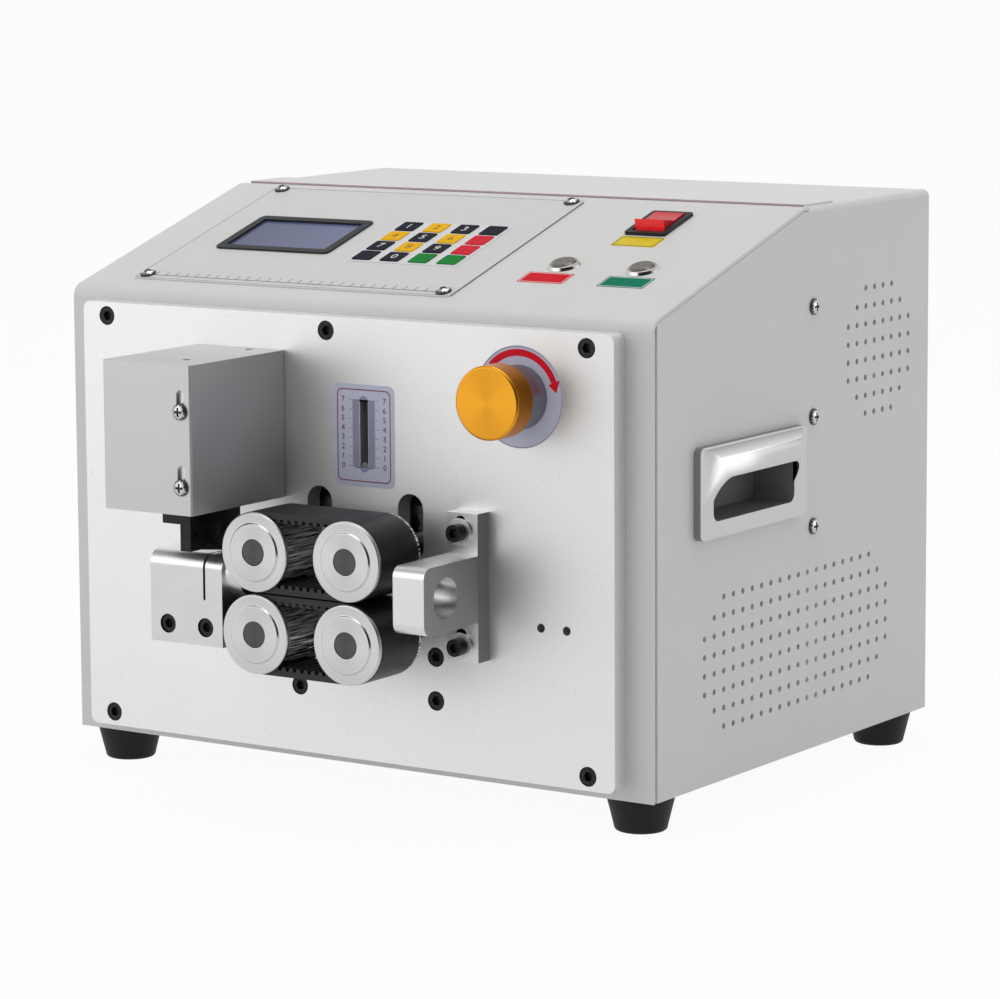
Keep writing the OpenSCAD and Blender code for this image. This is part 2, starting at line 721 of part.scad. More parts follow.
// Tapered rubber foot with a round lower edge and a sunk screw seat
module foot() {
    edge_r = 2.5;
    seat_d = 13;
    rotate_extrude() difference() {
        union() {
            polygon([[0, 0], [foot_top_d / 2, 0], [foot_top_d / 2, -1.5],
                [foot_base_d / 2, -foot_h + edge_r], [0, -foot_h + edge_r]]);
            translate([0, -foot_h]) square([foot_base_d / 2 - edge_r, edge_r + eps]);
            translate([foot_base_d / 2 - edge_r, -foot_h + edge_r]) circle(edge_r);
        }
        translate([-1, -foot_h - 1]) square([seat_d / 2 + 1, 12]);
        translate([-foot_base_d, -foot_h - 1]) square([foot_base_d, foot_h + 2]);
        translate([-1, -foot_h - 1]) square([foot_screw_d / 2 + 1, foot_h + 2]);
    }
}

module feet() {
    color([0.1, 0.1, 0.1]) place() for (p = foot_places) translate([p[0], p[1], 0]) foot();
}

// Finger opening of a handle, and its hood's lip
handle_rim = 14;
handle_top = handle_z + handle_h;
cup_y = handle_y + handle_rim;
cup_l = handle_l - 2 * handle_rim;
cup_z = handle_z + 9.3;
lip_z = handle_top - 17.5;
cup_top = handle_top - 6;

// Side view of the cup, a wall's thickness larger where grow is set
module cup_outline(grow) {
    translate([cup_y + cup_l / 2, (cup_z + cup_top) / 2])
        round_rect(cup_l + 2 * grow, cup_top - cup_z + 2 * grow, 5);
}

// Body of the hood, smaller by inset: a quarter oval bounded by slanted ends
module hood(inset) {
    out = hood_out - inset;
    base = handle_t - 1;
    low = lip_z - 15;
    x0 = cab_w / 2;
    arc = [for (a = [0 : 9 : 90]) [base + (out - base) * sin(a), lip_z + (handle_top - 1 - inset - lip_z) * cos(a)]];
    intersection() {
        translate([x0, handle_y + handle_l, 0]) rotate([90, 0, 0]) linear_extrude(handle_l)
            polygon(concat(arc, [[base, low]]));
        translate([x0, handle_y + handle_l / 2, low - 1]) linear_extrude(handle_top - low + 2) polygon([
            [base, 1.5 + inset - handle_l / 2], [out, 18 + inset - handle_l / 2],
            [out, handle_l / 2 - 18 - inset], [base, handle_l / 2 - 1.5 - inset]]);
    }
}

// One recessed pull with an overhanging hood, drawn for the right side
module handle() {
    x0 = cab_w / 2;
    opening_h = lip_z - cup_z;
    difference() {
        union() {
            from_side(x0, x0 + handle_t) translate([handle_y + handle_l / 2, handle_z + handle_h / 2])
                round_rect(handle_l, handle_h, 4);
            from_side(x0 - cup_depth, x0 + eps) cup_outline(handle_wall);
            hood(0);
        }
        from_side(x0 - cup_depth + handle_wall, x0 + handle_t - 1 + eps) cup_outline(0);
        from_side(x0 - eps, x0 + handle_t + eps) intersection() {
            cup_outline(0);
            translate([cup_y - 1, cup_z - 1]) square([cup_l + 2, lip_z - cup_z + 1]);
        }
        hood(handle_wall);
        from_side(x0 - 1, x0 + hood_out + 1) {
            translate([cup_y + cup_l / 2, cup_z + opening_h / 2]) round_rect(cup_l, opening_h, 11);
            translate([cup_y + cup_l / 2, cup_z + opening_h / 4]) round_rect(cup_l, opening_h / 2, 5);
        }
    }
}

module handle_right() color([0.7, 0.7, 0.72]) place() handle();
module handle_left() color([0.7, 0.7, 0.72]) place() mirror([1, 0, 0]) handle();

// Mains inlet: a recessed socket with three blades under a fuse drawer
inlet_in = 80;
inlet_x = cab_w / 2 - inlet_in;
inlet_z = 60;
inlet_cut_w = 27.4;
inlet_cut_h = 47;
inlet_screw_pitch = 40;

module power_inlet() {
    socket_w = 24.2;
    socket_h = 16.4;
    socket_z = inlet_z - 9;
    depth = 17;
    back = cab_d + inlet_lip_t;
    color([0.12, 0.12, 0.12]) place() {
        difference() {
            union() {
                from_front(cab_d, back) translate([inlet_x, inlet_z]) round_rect(50, 54, 4);
                from_front(cab_d - 22, cab_d + eps) translate([inlet_x, inlet_z])
                    square([inlet_cut_w, inlet_cut_h], center = true);
            }
            from_front(back - depth, back + 1) translate([inlet_x, socket_z]) polygon([
                [-socket_w / 2, -socket_h / 2], [socket_w / 2, -socket_h / 2], [socket_w / 2, 3.5],
                [socket_w / 2 - 4.7, socket_h / 2], [4.7 - socket_w / 2, socket_h / 2], [-socket_w / 2, 3.5]]);
            from_front(back - 1.5, back + 1) translate([inlet_x, inlet_z + 13]) difference() {
                round_rect(23, 14, 2);
                round_rect(21.6, 12.6, 1.5);
            }
            for (x = [-1, 1]) bar_y(inlet_x + x * inlet_screw_pitch / 2, inlet_z, 3.4, cab_d - eps, back + 1);
        }
        for (x = [-7, 0, 7]) translate([inlet_x + x - 1, back - depth - 1, socket_z - 2 + (x == 0 ? 4 : 0) - 2])
            cube([2, depth - 1, 4]);
    }
}

// Thin plate with the display's window, screwed on the slope
module control_overlay() {
    color("whitesmoke") place() on_slope(panel_cx, overlay_cs) linear_extrude(overlay_t) difference() {
        round_rect(overlay_w, overlay_l, 3);
        translate([display_x - panel_cx, display_s - overlay_cs]) square([glass_w + 2, glass_l + 2], center = true);
        for (p = overlay_screws) translate([p[0] - panel_cx, p[1] - overlay_cs]) circle(d = pan_d);
    }
}

module display_bezel() {
    color([0.15, 0.15, 0.17]) place() on_slope(display_x, display_s) translate([0, 0, overlay_t])
        linear_extrude(bezel_t) difference() {
            round_rect(bezel_w, bezel_l, 4);
            round_rect(glass_w, glass_l, 1);
        }
}

// Display module under its window
module display_glass() {
    color([0.4, 0.42, 0.62]) place() on_slope(display_x, display_s) {
        translate([0, 0, -sheet_t]) linear_extrude(sheet_t + overlay_t - 0.2)
            square([glass_w + 1.6, glass_l + 1.6], center = true);
        translate([0, 0, -sheet_t - 9]) linear_extrude(9) square([glass_w + 20, glass_l + 16], center = true);
    }
}

// Membrane with sixteen raised key pads
module keypad() {
    color([0.2, 0.2, 0.3]) place() on_slope(keypad_x, keypad_s) translate([0, 0, overlay_t]) {
        linear_extrude(membrane_t) round_rect(keypad_w, keypad_l, 2);
        for (c = [-1.5 : 1.5], r = [-1.5 : 1.5]) translate([c * key_pitch_x, r * key_pitch_s, membrane_t - eps])
            linear_extrude(key_t + eps) round_rect(key_w, key_w, 1);
    }
}

// Frame and housing of the rocker switch, open around the rocker
module switch_frame() {
    rim_t = 2;
    depth = 24;
    color([0.1, 0.1, 0.1]) place() on_slope(rocker_x, rocker_s) difference() {
        union() {
            linear_extrude(rim_t) round_rect(rocker_frame_w, rocker_frame_l, 1.5);
            translate([0, 0, -depth]) linear_extrude(depth + eps)
                square([rocker_cut_w - 0.6, rocker_cut_l - 0.6], center = true);
        }
        translate([0, 0, -depth + 8]) linear_extrude(depth)
            square([rocker_w + 1, rocker_l + 4.6], center = true);
        for (side = [-1, 1]) translate([side * (rocker_w / 2 + 0.5), 0, rocker_pivot]) rotate([0, 90, 0])
            cylinder(d = 3 + 2 * run_gap, h = 2.4, center = true);
    }
}

// Rocker with a shallow valley, lying with its back half pressed
module power_rocker() {
    end_h = 9.2;
    valley_h = 6.8;
    color("red") place() on_slope(rocker_x, rocker_s) translate([0, 0, rocker_pivot])
        rotate([-rocker_turn / 2, 0, 0]) {
            from_side(-rocker_w / 2, rocker_w / 2) polygon([[-rocker_l / 2, end_h], [0, valley_h],
                [rocker_l / 2, end_h], [rocker_l / 2 - 1, -3], [1 - rocker_l / 2, -3]]);
            rotate([0, 90, 0]) cylinder(d = 3, h = rocker_w + 1.8, center = true);
        }
}

// Barrels and rims of the two push buttons, with their nuts under the panel
module button_rims() {
    barrel = 20;
    nut_t = 3;
    color("silver") place() for (x = [stop_x, start_x]) on_slope(x, button_s) difference() {
        union() {
            cylinder(d1 = button_rim_d, d2 = button_rim_d - 2, h = button_rim_h);
            translate([0, 0, -barrel]) cylinder(d = button_hole_d, h = barrel + eps);
            translate([0, 0, -sheet_t - nut_t]) cylinder(d = button_rim_d + 3, h = nut_t, $fn = 6);
        }
        translate([0, 0, -barrel + 2]) cylinder(d = button_cap_d + 2 * run_gap, h = barrel + 5);
    }
}

// Plunger of one push button
module button_cap(x) {
    color([0.85, 0.85, 0.87]) place() on_slope(x, button_s) {
        translate([0, 0, -9]) cylinder(d = button_cap_d, h = 9 + button_rim_h + button_cap_h - 1);
        translate([0, 0, button_rim_h + button_cap_h - 1 - eps])
            cylinder(d1 = button_cap_d, d2 = button_cap_d - 2, h = 1);
    }
}
module stop_button() button_cap(stop_x);
module start_button() button_cap(start_x);

// Thick front plate with its slots, counterbores and tapped holes
module front_plate() {
    accessory_x = roller_right_x + 94.6;
    color([0.86, 0.86, 0.87]) place() difference() {
        from_front(plate_face, 0) difference() {
            translate([0, plate_z + plate_h / 2]) round_rect(plate_w, plate_h, 5);
            for (x = [roller_left_x, roller_right_x]) {
                translate([x, upper_z - shaft_slot_w / 2]) slot_up(shaft_slot_w, shaft_slot_w + lift_travel + 1);
                translate([x, lower_z]) circle(d = shaft_slot_w);
            }
            translate([roller_mid_x, pointer_slot_z]) slot_up(pointer_slot_w, pointer_slot_l);
            for (x = [-1, 1]) translate([accessory_x + x * accessory_pitch / 2, lower_z + 8.3])
                circle(d = accessory_d);
            translate([knob_x, knob_z]) circle(d = lift_shaft_d + 2 * run_gap);
            translate([pinion_x, pinion_z]) circle(d = 22.4);
            for (z = guide_screw_z) translate([guide_left + guide_w / 2 - 1, z]) circle(d = socket_d);
            for (x = outlet_screws_x) translate([x, outlet_screw_z]) circle(d = socket_d);
        }
        for (p = concat(edge_screws, [top_screw], block_screws)) plate_counterbore(p[0], p[1]);
    }
}

guide_screw_z = [guide_bore_z - 32.6, guide_bore_z + 31.3];
outlet_screws_x = [outlet_left + outlet_screw_in, outlet_right - outlet_screw_in];

// Counterbored socket screws: eight in the plate, two in the outlet block
module socket_screws() {
    color([0.12, 0.12, 0.13]) place() {
        for (p = concat(edge_screws, [top_screw])) translate([p[0], plate_face + 0.4, p[1]]) socket_screw(14);
        for (p = block_screws) translate([p[0], plate_face + 0.4, p[1]]) socket_screw(18);
        for (x = outlet_screws_x) translate([x, outlet_front + 1, outlet_screw_z])
            socket_screw(outlet_d - socket_head_h + plate_t - 3);
    }
}

// Die block that holds the tube at the cut; a flared lip takes it off the belts
module outlet_block() {
    r = outlet_r;
    lip_t = 5.5;
    lip_l = 11;
    mouth_l = 6.2;
    color([0.86, 0.86, 0.87]) place() difference() {
        union() {
            from_side(outlet_left, outlet_right) {
                translate([outlet_front, outlet_z]) square([outlet_d, outlet_h - r]);
                translate([outlet_front + r, outlet_top - r - 1]) square([outlet_d - r, r + 1]);
                translate([outlet_front + r, outlet_top - r]) circle(r);
            }
            difference() {
                translate([outlet_right - 1, feed_y, outlet_bore_z]) rotate([0, 90, 0])
                    cylinder(d = outlet_bore_d + 2 * lip_t, h = lip_l + 1);
                for (z = [lower_z, upper_z])
                    bar_y(roller_left_x, z, 2 * belt_out_r + 1.6, outlet_front, plate_face);
            }
        }
        translate([blade_x - slit_w / 2, outlet_front - 1, slit_z]) cube([slit_w, slit_l + 1, outlet_h]);
        translate([outlet_left - 1, feed_y, outlet_bore_z]) rotate([0, 90, 0])
            cylinder(d = outlet_bore_d, h = outlet_w + lip_l + 2);
        translate([outlet_right + lip_l - mouth_l, feed_y, outlet_bore_z]) rotate([0, 90, 0])
            cylinder(d1 = outlet_bore_d, d2 = outlet_bore_d + lip_t, h = mouth_l + 1);
        for (x = outlet_screws_x) {
            bar_y(x, outlet_screw_z, socket_d + 0.4, outlet_front - 1, plate_face + 1);
            bar_y(x, outlet_screw_z, counterbore_d, outlet_front - 1, outlet_front + socket_head_h + 1.2);
        }
    }
}

// Bracket that leads the tube between the belts; its flange slides on two slots
module inlet_guide() {
    flange_z = guide_bore_z - guide_flange_h / 2 + 0.3;
    arm_front = feed_y - guide_front;
    color([0.86, 0.86, 0.87]) place() difference() {
        from_side(guide_left, guide_left + guide_w) {
            translate([guide_face, flange_z]) square([guide_flange_t, guide_flange_h]);
            translate([arm_front + guide_arm_r, guide_bore_z - guide_arm_h / 2])
                square([guide_face - arm_front - guide_arm_r + 1, guide_arm_h]);
            translate([arm_front, guide_bore_z - guide_arm_h / 2 + guide_arm_r])
                square([guide_arm_r + 1, guide_arm_h - 2 * guide_arm_r]);
            for (z = [-1, 1]) translate([arm_front + guide_arm_r,
                guide_bore_z + z * (guide_arm_h / 2 - guide_arm_r)]) circle(guide_arm_r);
        }
        translate([guide_left - 1, feed_y, guide_bore_z]) rotate([0, 90, 0])
            cylinder(d = guide_bore_d, h = guide_w + 2);
        from_front(guide_face - 1, plate_face + 1) for (z = [flange_z + guide_slot_in, flange_z + guide_flange_h - guide_slot_in])
            translate([guide_left + guide_w / 2 - 1, z - guide_slot_l / 2]) slot_up(socket_d + 1, guide_slot_l);
    }
}

// The guide's two socket screws, each on its washer
module guide_fasteners() {
    color([0.3, 0.3, 0.32]) place() for (z = guide_screw_z) translate([guide_left + guide_w / 2 - 1, 0, z]) {
        translate([0, guide_face - washer_t - socket_head_h - 0.05, 0])
            socket_screw(washer_t + guide_flange_t + 9);
        difference() {
            bar_y(0, 0, washer_d, guide_face - washer_t, guide_face);
            bar_y(0, 0, socket_d + 0.2, guide_face - washer_t - 1, guide_face + 1);
        }
    }
}

// Folded box over the cutter, open below and behind
module cutter_guard() {
    r = 1.5;
    color([0.66, 0.66, 0.67]) place() difference() {
        translate([0, 0, guard_z]) linear_extrude(guard_h) difference() {
            translate([(guard_left + guard_right) / 2, (guard_front + plate_face) / 2])
                round_rect(guard_w, guard_d, r);
            translate([(guard_left + guard_right) / 2, (guard_front + plate_face) / 2 + guard_t])
                square([guard_w - 2 * guard_t, guard_d], center = true);
        }
        from_front(guard_front - 1, guard_front + guard_t + 1) for (z = [0, guard_screw_pitch])
            translate([guard_screw_x, guard_screw_low + z - pan_d / 2 - 0.4]) slot_up(pan_d + 0.3, guard_slot_l);
    }
    color([0.66, 0.66, 0.67]) place() difference() {
        translate([guard_left + 0.6, guard_front + 0.6, guard_top - guard_t])
            cube([guard_w - 1.2, guard_d - 0.6, guard_t]);
        for (y = guard_holes_y) translate([guard_hole_x, y, guard_top - guard_t - 1])
            cylinder(d = guard_hole_d, h = guard_t + 2);
    }
}

// Bracket inside the guard: a shelf from the plate and a leg for the front screws
module guard_bracket() {
    leg_w = 9;
    in = guard_front + guard_t;
    color([0.6, 0.6, 0.62]) place() difference() {
        union() {
            translate([guard_left + guard_t + 0.3, in, guard_top - guard_t - bracket_t])
                cube([guard_w - 2 * guard_t - 0.6, guard_d - guard_t, bracket_t]);
            translate([guard_right - guard_t - 0.3 - leg_w, in, guard_z + 4])
                cube([leg_w, bracket_t, guard_h - guard_t - 5]);
        }
        for (z = [0, guard_screw_pitch]) bar_y(guard_screw_x, guard_screw_low + z, pan_d, in - 1, in + bracket_t + 1);
        for (y = guard_holes_y) translate([guard_hole_x, y, guard_top - guard_t - bracket_t - 1])
            cylinder(d = guard_hole_d, h = bracket_t + 2);
    }
}

// Guide rail of the blade, screwed on the plate inside the guard
module blade_rail() {
    z0 = guard_z + 3;
    z1 = guard_top - guard_t - bracket_t - 1;
    color("silver") place() from_front(plate_face - rail_t, plate_face) {
        translate([rail_x, (z0 + z1) / 2]) difference() {
            square([rail_w, z1 - z0], center = true);
            for (z = [-24, 0, 24]) translate([0, z]) circle(d = 3.5);
        }
    }
}

// Block that runs on the rail
module slide_block() {
    z0 = slide_top - 30;
    gap = 0.1;
    color([0.5, 0.5, 0.53]) place() translate([0, 0, z0]) linear_extrude(30) difference() {
        translate([rail_x - block_w / 2, block_front]) square([block_w, plate_face - 3 - block_front]);
        translate([rail_x - rail_w / 2 - gap, plate_face - rail_t - gap]) square([rail_w + 2 * gap, rail_t]);
    }
}

// Blade holder: a web with its rack in front of the slide block, and a long nose below
module blade_holder() {
    cross_z = nose_z + 15;
    color([0.13, 0.13, 0.14]) place() {
        difference() {
            union() {
                from_side(holder_x, holder_x + holder_w) polygon([[nose_front, nose_z], [nose_back, nose_z],
                    [nose_back, arm_z], [block_front, arm_z], [block_front, holder_top], [nose_front, holder_top]]);
                translate([web_left, web_front, holder_top - 8]) cube([web_right - web_left, web_t, slide_top - holder_top + 8]);
                translate([holder_x - 12.4, nose_front, cross_z]) cube([12.4 + eps, 9, 15.5]);
            }
            translate([blade_x - blade_t / 2, nose_back, nose_z - 1])
                cube([blade_t + 1, blade_back - nose_back, blade_top - nose_z + 1]);
            translate([holder_x + holder_w / 2, (nose_front + nose_back) / 2, nose_z + 9.5]) rotate([0, 90, 0])
                cylinder(d = 3.7, h = holder_w);
        }
        translate([0, block_front + rack_w, 0]) rotate([90, 0, 0]) linear_extrude(rack_w + eps)
            translate([cutter_rack_x, 0]) mirror([1, 0])
                rack_outline(3, pinion_z - 8, slide_top, pinion_z);
    }
}

// Blade with a slanted lower edge, clamped in the holder
module blade() {
    bevel = 0.42;
    color([0.85, 0.86, 0.88]) place() difference() {
        from_side(blade_x - blade_t / 2, blade_x + blade_t / 2) polygon([[nose_back, nose_z],
            [blade_back, nose_z - blade_slant], [blade_back, blade_top], [nose_back, blade_top]]);
        for (side = [-1, 1]) edge_bevel(side, bevel);
    }
}

// Wedge that grinds one side of the blade's lower edge
module edge_bevel(side, bevel) {
    length = norm([blade_back - nose_back, blade_slant]);
    translate([blade_x, nose_back, nose_z]) rotate([-atan(blade_slant / (blade_back - nose_back)), 0, 0])
        translate([0, length + 5, 0]) rotate([90, 0, 0]) linear_extrude(length + 10)
            polygon([[side * (blade_t / 2 - bevel), -1], [side * (blade_t / 2 - bevel), 0],
                [side * (blade_t / 2 + eps), 2.4], [side * (blade_t / 2 + 1), 2.4], [side * (blade_t / 2 + 1), -1]]);
}

// Pinion on the cutter motor's shaft
module cutter_pinion() {
    y1 = block_front + rack_w;
    color([0.7, 0.7, 0.72]) place() {
        translate([pinion_x, y1, pinion_z]) rotate([90, 0, 0]) linear_extrude(rack_w)
            polygon(gear_points(cutter_teeth));
        bar_y(pinion_x, pinion_z, 8, block_front - 1, 1);
    }
}

// Square stepper motor: face flange, chamfered body, end cap and pilot boss
module motor(w, l, pilot_d, bore_d) {
    c = w * 0.09;
    body = [[w / 2, w / 2 - c], [w / 2 - c, w / 2], [c - w / 2, w / 2], [-w / 2, w / 2 - c],
        [-w / 2, c - w / 2], [c - w / 2, -w / 2], [w / 2 - c, -w / 2], [w / 2, c - w / 2]];
    difference() {
        union() {
            from_front(0, w * 0.12) round_rect(w, w, w * 0.06);
            from_front(w * 0.12 - eps, l - w * 0.16) scale(0.97) polygon(body);
            from_front(l - w * 0.16 - eps, l) polygon(body);
            bar_y(0, 0, pilot_d, -1.6, eps);
        }
        bar_y(0, 0, bore_d, -2, 3);
        for (x = [-1, 1], z = [-1, 1]) bar_y(x * w * 0.418, z * w * 0.418, w * 0.09, -1, w * 0.12 + 1);
    }
}

module cutter_motor() {
    color([0.2, 0.2, 0.22]) place() translate([pinion_x, 0, pinion_z])
        motor(small_motor_w, small_motor_l, 22, 8 + 2 * run_gap);
}

module lower_motor() {
    color([0.2, 0.2, 0.22]) place() translate([roller_right_x, motor_face_y, lower_z])
        motor(motor_w, motor_l, 38, motor_shaft_d + 2 * run_gap);
}

module upper_motor() {
    color([0.2, 0.2, 0.22]) place() translate([roller_left_x, motor_face_y, upper_z])
        motor(motor_w, motor_l, 38, motor_shaft_d + 2 * run_gap);
}

// Collar on the plate that carries the lift shaft
module knob_collar() {
    color("silver") place() difference() {
        translate([knob_x, plate_face, knob_z]) rotate([90, 0, 0]) {
            cylinder(d = collar_d, h = collar_l - 1.8);
            translate([0, 0, collar_l - 1.8 - eps]) cylinder(d1 = collar_d, d2 = collar_d - 3, h = 1.5);
        }
        bar_y(knob_x, knob_z, lift_shaft_d + 2 * run_gap, plate_face - collar_l - 1, plate_face + 1);
    }
}

// Turned knob with chamfered edges and a bore for its shaft
module lift_knob() {
    c = 1;
    r = knob_d / 2;
    color([0.9, 0.65, 0.15]) place() translate([knob_x, knob_front, knob_z]) rotate([-90, 0, 0])
        rotate_extrude($fn = 96) polygon([[0, 0], [r - c, 0], [r, c], [r, knob_l - c], [r - c, knob_l],
            [lift_shaft_d / 2, knob_l], [lift_shaft_d / 2, 4], [0, 4]]);
}

// Shaft with the lift pinion
module lift_shaft() {
    color("silver") place() {
        bar_y(knob_x, knob_z, lift_shaft_d, knob_front + 4, lift_gear_y + lift_gear_w + 6);
        translate([knob_x, lift_gear_y + lift_gear_w, knob_z]) rotate([90, 0, 0]) linear_extrude(lift_gear_w)
            polygon(gear_points(lift_teeth));
    }
}

// Outline of a motor bracket's upright with the motor's holes
module motor_face(x, z, z0, z1) {
    difference() {
        translate([x - motor_w / 2 - 1, z0]) square([motor_w + 2, z1 - z0]);
        translate([x, z]) circle(d = 38.4);
        for (dx = [-1, 1], dz = [-1, 1]) translate([x + dx * motor_w * 0.418, z + dz * motor_w * 0.418])
            circle(d = motor_w * 0.09);
    }
}

// Carriage that lifts both upper rollers, with its motor bracket and the lift rack
module upper_carriage() {
    web_h = 6;
    color([0.75, 0.75, 0.77]) place() difference() {
        union() {
            from_front(carriage_front, carriage_back)
                translate([carriage_left, carriage_z]) square([carriage_right - carriage_left, carriage_top - carriage_z]);
            from_front(motor_plate_y, motor_face_y)
                motor_face(roller_left_x, upper_z, carriage_z, upper_z + motor_w / 2 + 1);
            translate([roller_left_x - motor_w / 2 - 1, carriage_back - 1, carriage_top - web_h])
                cube([motor_w + 2, motor_plate_y - carriage_back + 2, web_h]);
            translate([carriage_right - 1, lift_gear_y, carriage_top - 12])
                cube([lift_rack_x - rack_bar_w - carriage_right + 2, lift_gear_w, 12]);
            from_front(lift_gear_y, lift_gear_y + lift_gear_w) translate([lift_rack_x, 0])
                rack_outline(rack_bar_w, carriage_top - 12, knob_z + 10, knob_z);
        }
        for (x = [roller_left_x, roller_right_x]) {
            bar_y(x, upper_z, shaft_d + 4, carriage_front - 1, carriage_back + 1);
            bar_y(x, upper_z, bearing_d, carriage_front - 1, carriage_front + bearing_w);
            bar_y(x, upper_z, bearing_d, carriage_back - bearing_w, carriage_back + 1);
        }
        for (x = post_x) translate([x, post_y, carriage_z - 1])
            cylinder(d = post_d + 2 * run_gap, h = carriage_top - carriage_z + 2);
        translate([roller_mid_x - 6, carriage_front - 1, upper_z + 2]) cube([12, 1 + 2, carriage_top - upper_z]);
    }
}

post_x = [carriage_left + post_in, carriage_right - post_in];

// Tongue and pin that show the lift on the scale beside the pointer slot
module scale_pointer() {
    strip_w = 11.4;
    color("silver") place() {
        translate([roller_mid_x - strip_w / 2, carriage_front - 2, upper_z + 2.2])
            cube([strip_w, 4, pointer_z + pointer_d / 2 + 1 - upper_z - 2.2]);
        bar_y(roller_mid_x, pointer_z, pointer_d, plate_face + 0.6, carriage_front - 2 + eps);
    }
}

// Bearing as one solid ring, its two races shown by grooves
module bearing(y0) {
    mid = (shaft_d + bearing_d) / 4;
    translate([0, y0 + bearing_w, 0]) rotate([90, 0, 0]) rotate_extrude() difference() {
        translate([shaft_d / 2, 0]) square([(bearing_d - shaft_d) / 2, bearing_w]);
        for (z = [-eps, bearing_w - 0.8 + eps]) translate([mid - 1.8, z]) square([3.6, 0.8]);
    }
}

module bearing_set(z) {
    for (x = [roller_left_x, roller_right_x], y = [carriage_front, carriage_back - bearing_w])
        translate([x, 0, z]) bearing(y);
}
module upper_bearings() color("silver") place() bearing_set(upper_z);
module lower_bearings() color("silver") place() bearing_set(lower_z);

// Two round posts that the carriage runs on, tied by a beam
module guide_posts() {
    color("silver") place() {
        for (x = post_x) translate([x, post_y, block_top - 6]) cylinder(d = post_d, h = beam_z - block_top + 6 + eps);
        translate([carriage_left, post_y - 9, beam_z]) cube([carriage_right - carriage_left, 18, beam_t]);
    }
}

// Ring of the spring's wire at turn angle a, as points about its axis
function wire_ring(a, r, wire, rise) = [for (k = [0 : 5])
    [(r + wire * cos(60 * k)) * cos(a), (r + wire * cos(60 * k)) * sin(a), rise + wire * sin(60 * k)]];

// Compression spring swept along its helix
module spring(r, wire, h, turns) {
    steps = 10 * turns;
    rings = [for (i = [0 : steps]) wire_ring(36 * i, r, wire, wire + (h - 2 * wire) * i / steps)];
    points = [for (ring = rings, p = ring) p];
    walls = [for (i = [0 : steps - 1], k = [0 : 5]) let (a = 6 * i + k, b = 6 * i + (k + 1) % 6)
        each [[a, b, b + 6], [a, b + 6, a + 6]]];
    polyhedron(points, concat(walls, [[5, 4, 3, 2, 1, 0]], [[for (k = [0 : 5]) 6 * steps + k]]));
}

module press_springs() {
    color([0.5, 0.5, 0.52]) place() for (x = post_x) translate([x, post_y, carriage_top + 0.1])
        spring(post_d / 2 + 2.2, 0.9, beam_z - carriage_top - 0.2, 4);
}

// Fixed block with the lower bearings, the posts' seats and the lower motor's bracket
module lower_block() {
    motor_left = roller_right_x - motor_w / 2 - 1;
    color([0.75, 0.75, 0.77]) place() difference() {
        union() {
            from_front(carriage_front, carriage_back)
                translate([carriage_left, block_z]) square([carriage_right - carriage_left, block_top - block_z]);
            from_front(0, carriage_front + eps) for (p = block_screws) translate(p) circle(d = 14);
            from_front(motor_plate_y, motor_face_y) motor_face(roller_right_x, lower_z, block_z, block_top + 11);
            translate([motor_left, carriage_back - 1, block_z]) cube([motor_w + 2, motor_plate_y - carriage_back + 2, 10]);
        }
        for (x = [roller_left_x, roller_right_x]) {
            bar_y(x, lower_z, shaft_d + 4, -1, carriage_back + 1);
            bar_y(x, lower_z, bearing_d, carriage_front - 1, carriage_front + bearing_w);
            bar_y(x, lower_z, bearing_d, carriage_back - bearing_w, carriage_back + 1);
        }
        for (x = post_x) translate([x, post_y, block_top - 6]) cylinder(d = post_d, h = 7);
        for (p = block_screws) bar_y(p[0], p[1], socket_d, -1, 14);
    }
}

// Shaft of one roller, from its visible end to its last bearing or its coupling
module roller_shaft(x, z, y1) {
    color([0.45, 0.45, 0.47]) place() bar_y(x, z, shaft_d, shaft_end_y + 0.2, y1);
}

// Fluted core with its rear flange; turn sets where its first groove lies
module roller_core(x, z, turn) {
    color([0.8, 0.8, 0.82]) place() translate([x, 0, z]) {
        from_front(front_flange_y, core_y + eps) difference() {
            circle(core_r);
            for (k = [0 : core_teeth - 1]) rotate(turn + k * 360 / core_teeth)
                translate([core_r - tooth_h + tooth_r, 0]) circle(tooth_r + groove_play, $fn = 24);
            circle(d = shaft_d);
        }
        from_front(core_y, rear_flange_y) difference() {
            circle(d = flange_d);
            circle(d = shaft_d);
        }
    }
}

// Front flange with a raised ring and a chamfered rim
module roller_flange(x, z) {
    c = 0.6;
    r = flange_d / 2;
    color([0.93, 0.93, 0.94]) place() translate([x, front_flange_y, z]) rotate([90, 0, 0])
        rotate_extrude($fn = 96) polygon([[shaft_d / 2, 0], [r, 0], [r, front_flange_t - c], [r - c, front_flange_t],
            [flange_ring_d / 2 + flange_ring_h / 2, front_flange_t],
            [flange_ring_d / 2, front_flange_t + flange_ring_h], [shaft_d / 2, front_flange_t + flange_ring_h]]);
}

// Turn of each core so that its grooves take the belt's teeth
tooth_a = 360 / core_teeth;
left_turn = 90;
right_turn = 90 - (roller_pitch_x / belt_pitch - floor(roller_pitch_x / belt_pitch)) * tooth_a;
idle_end = carriage_back + 1;
drive_end = carriage_back + 13;

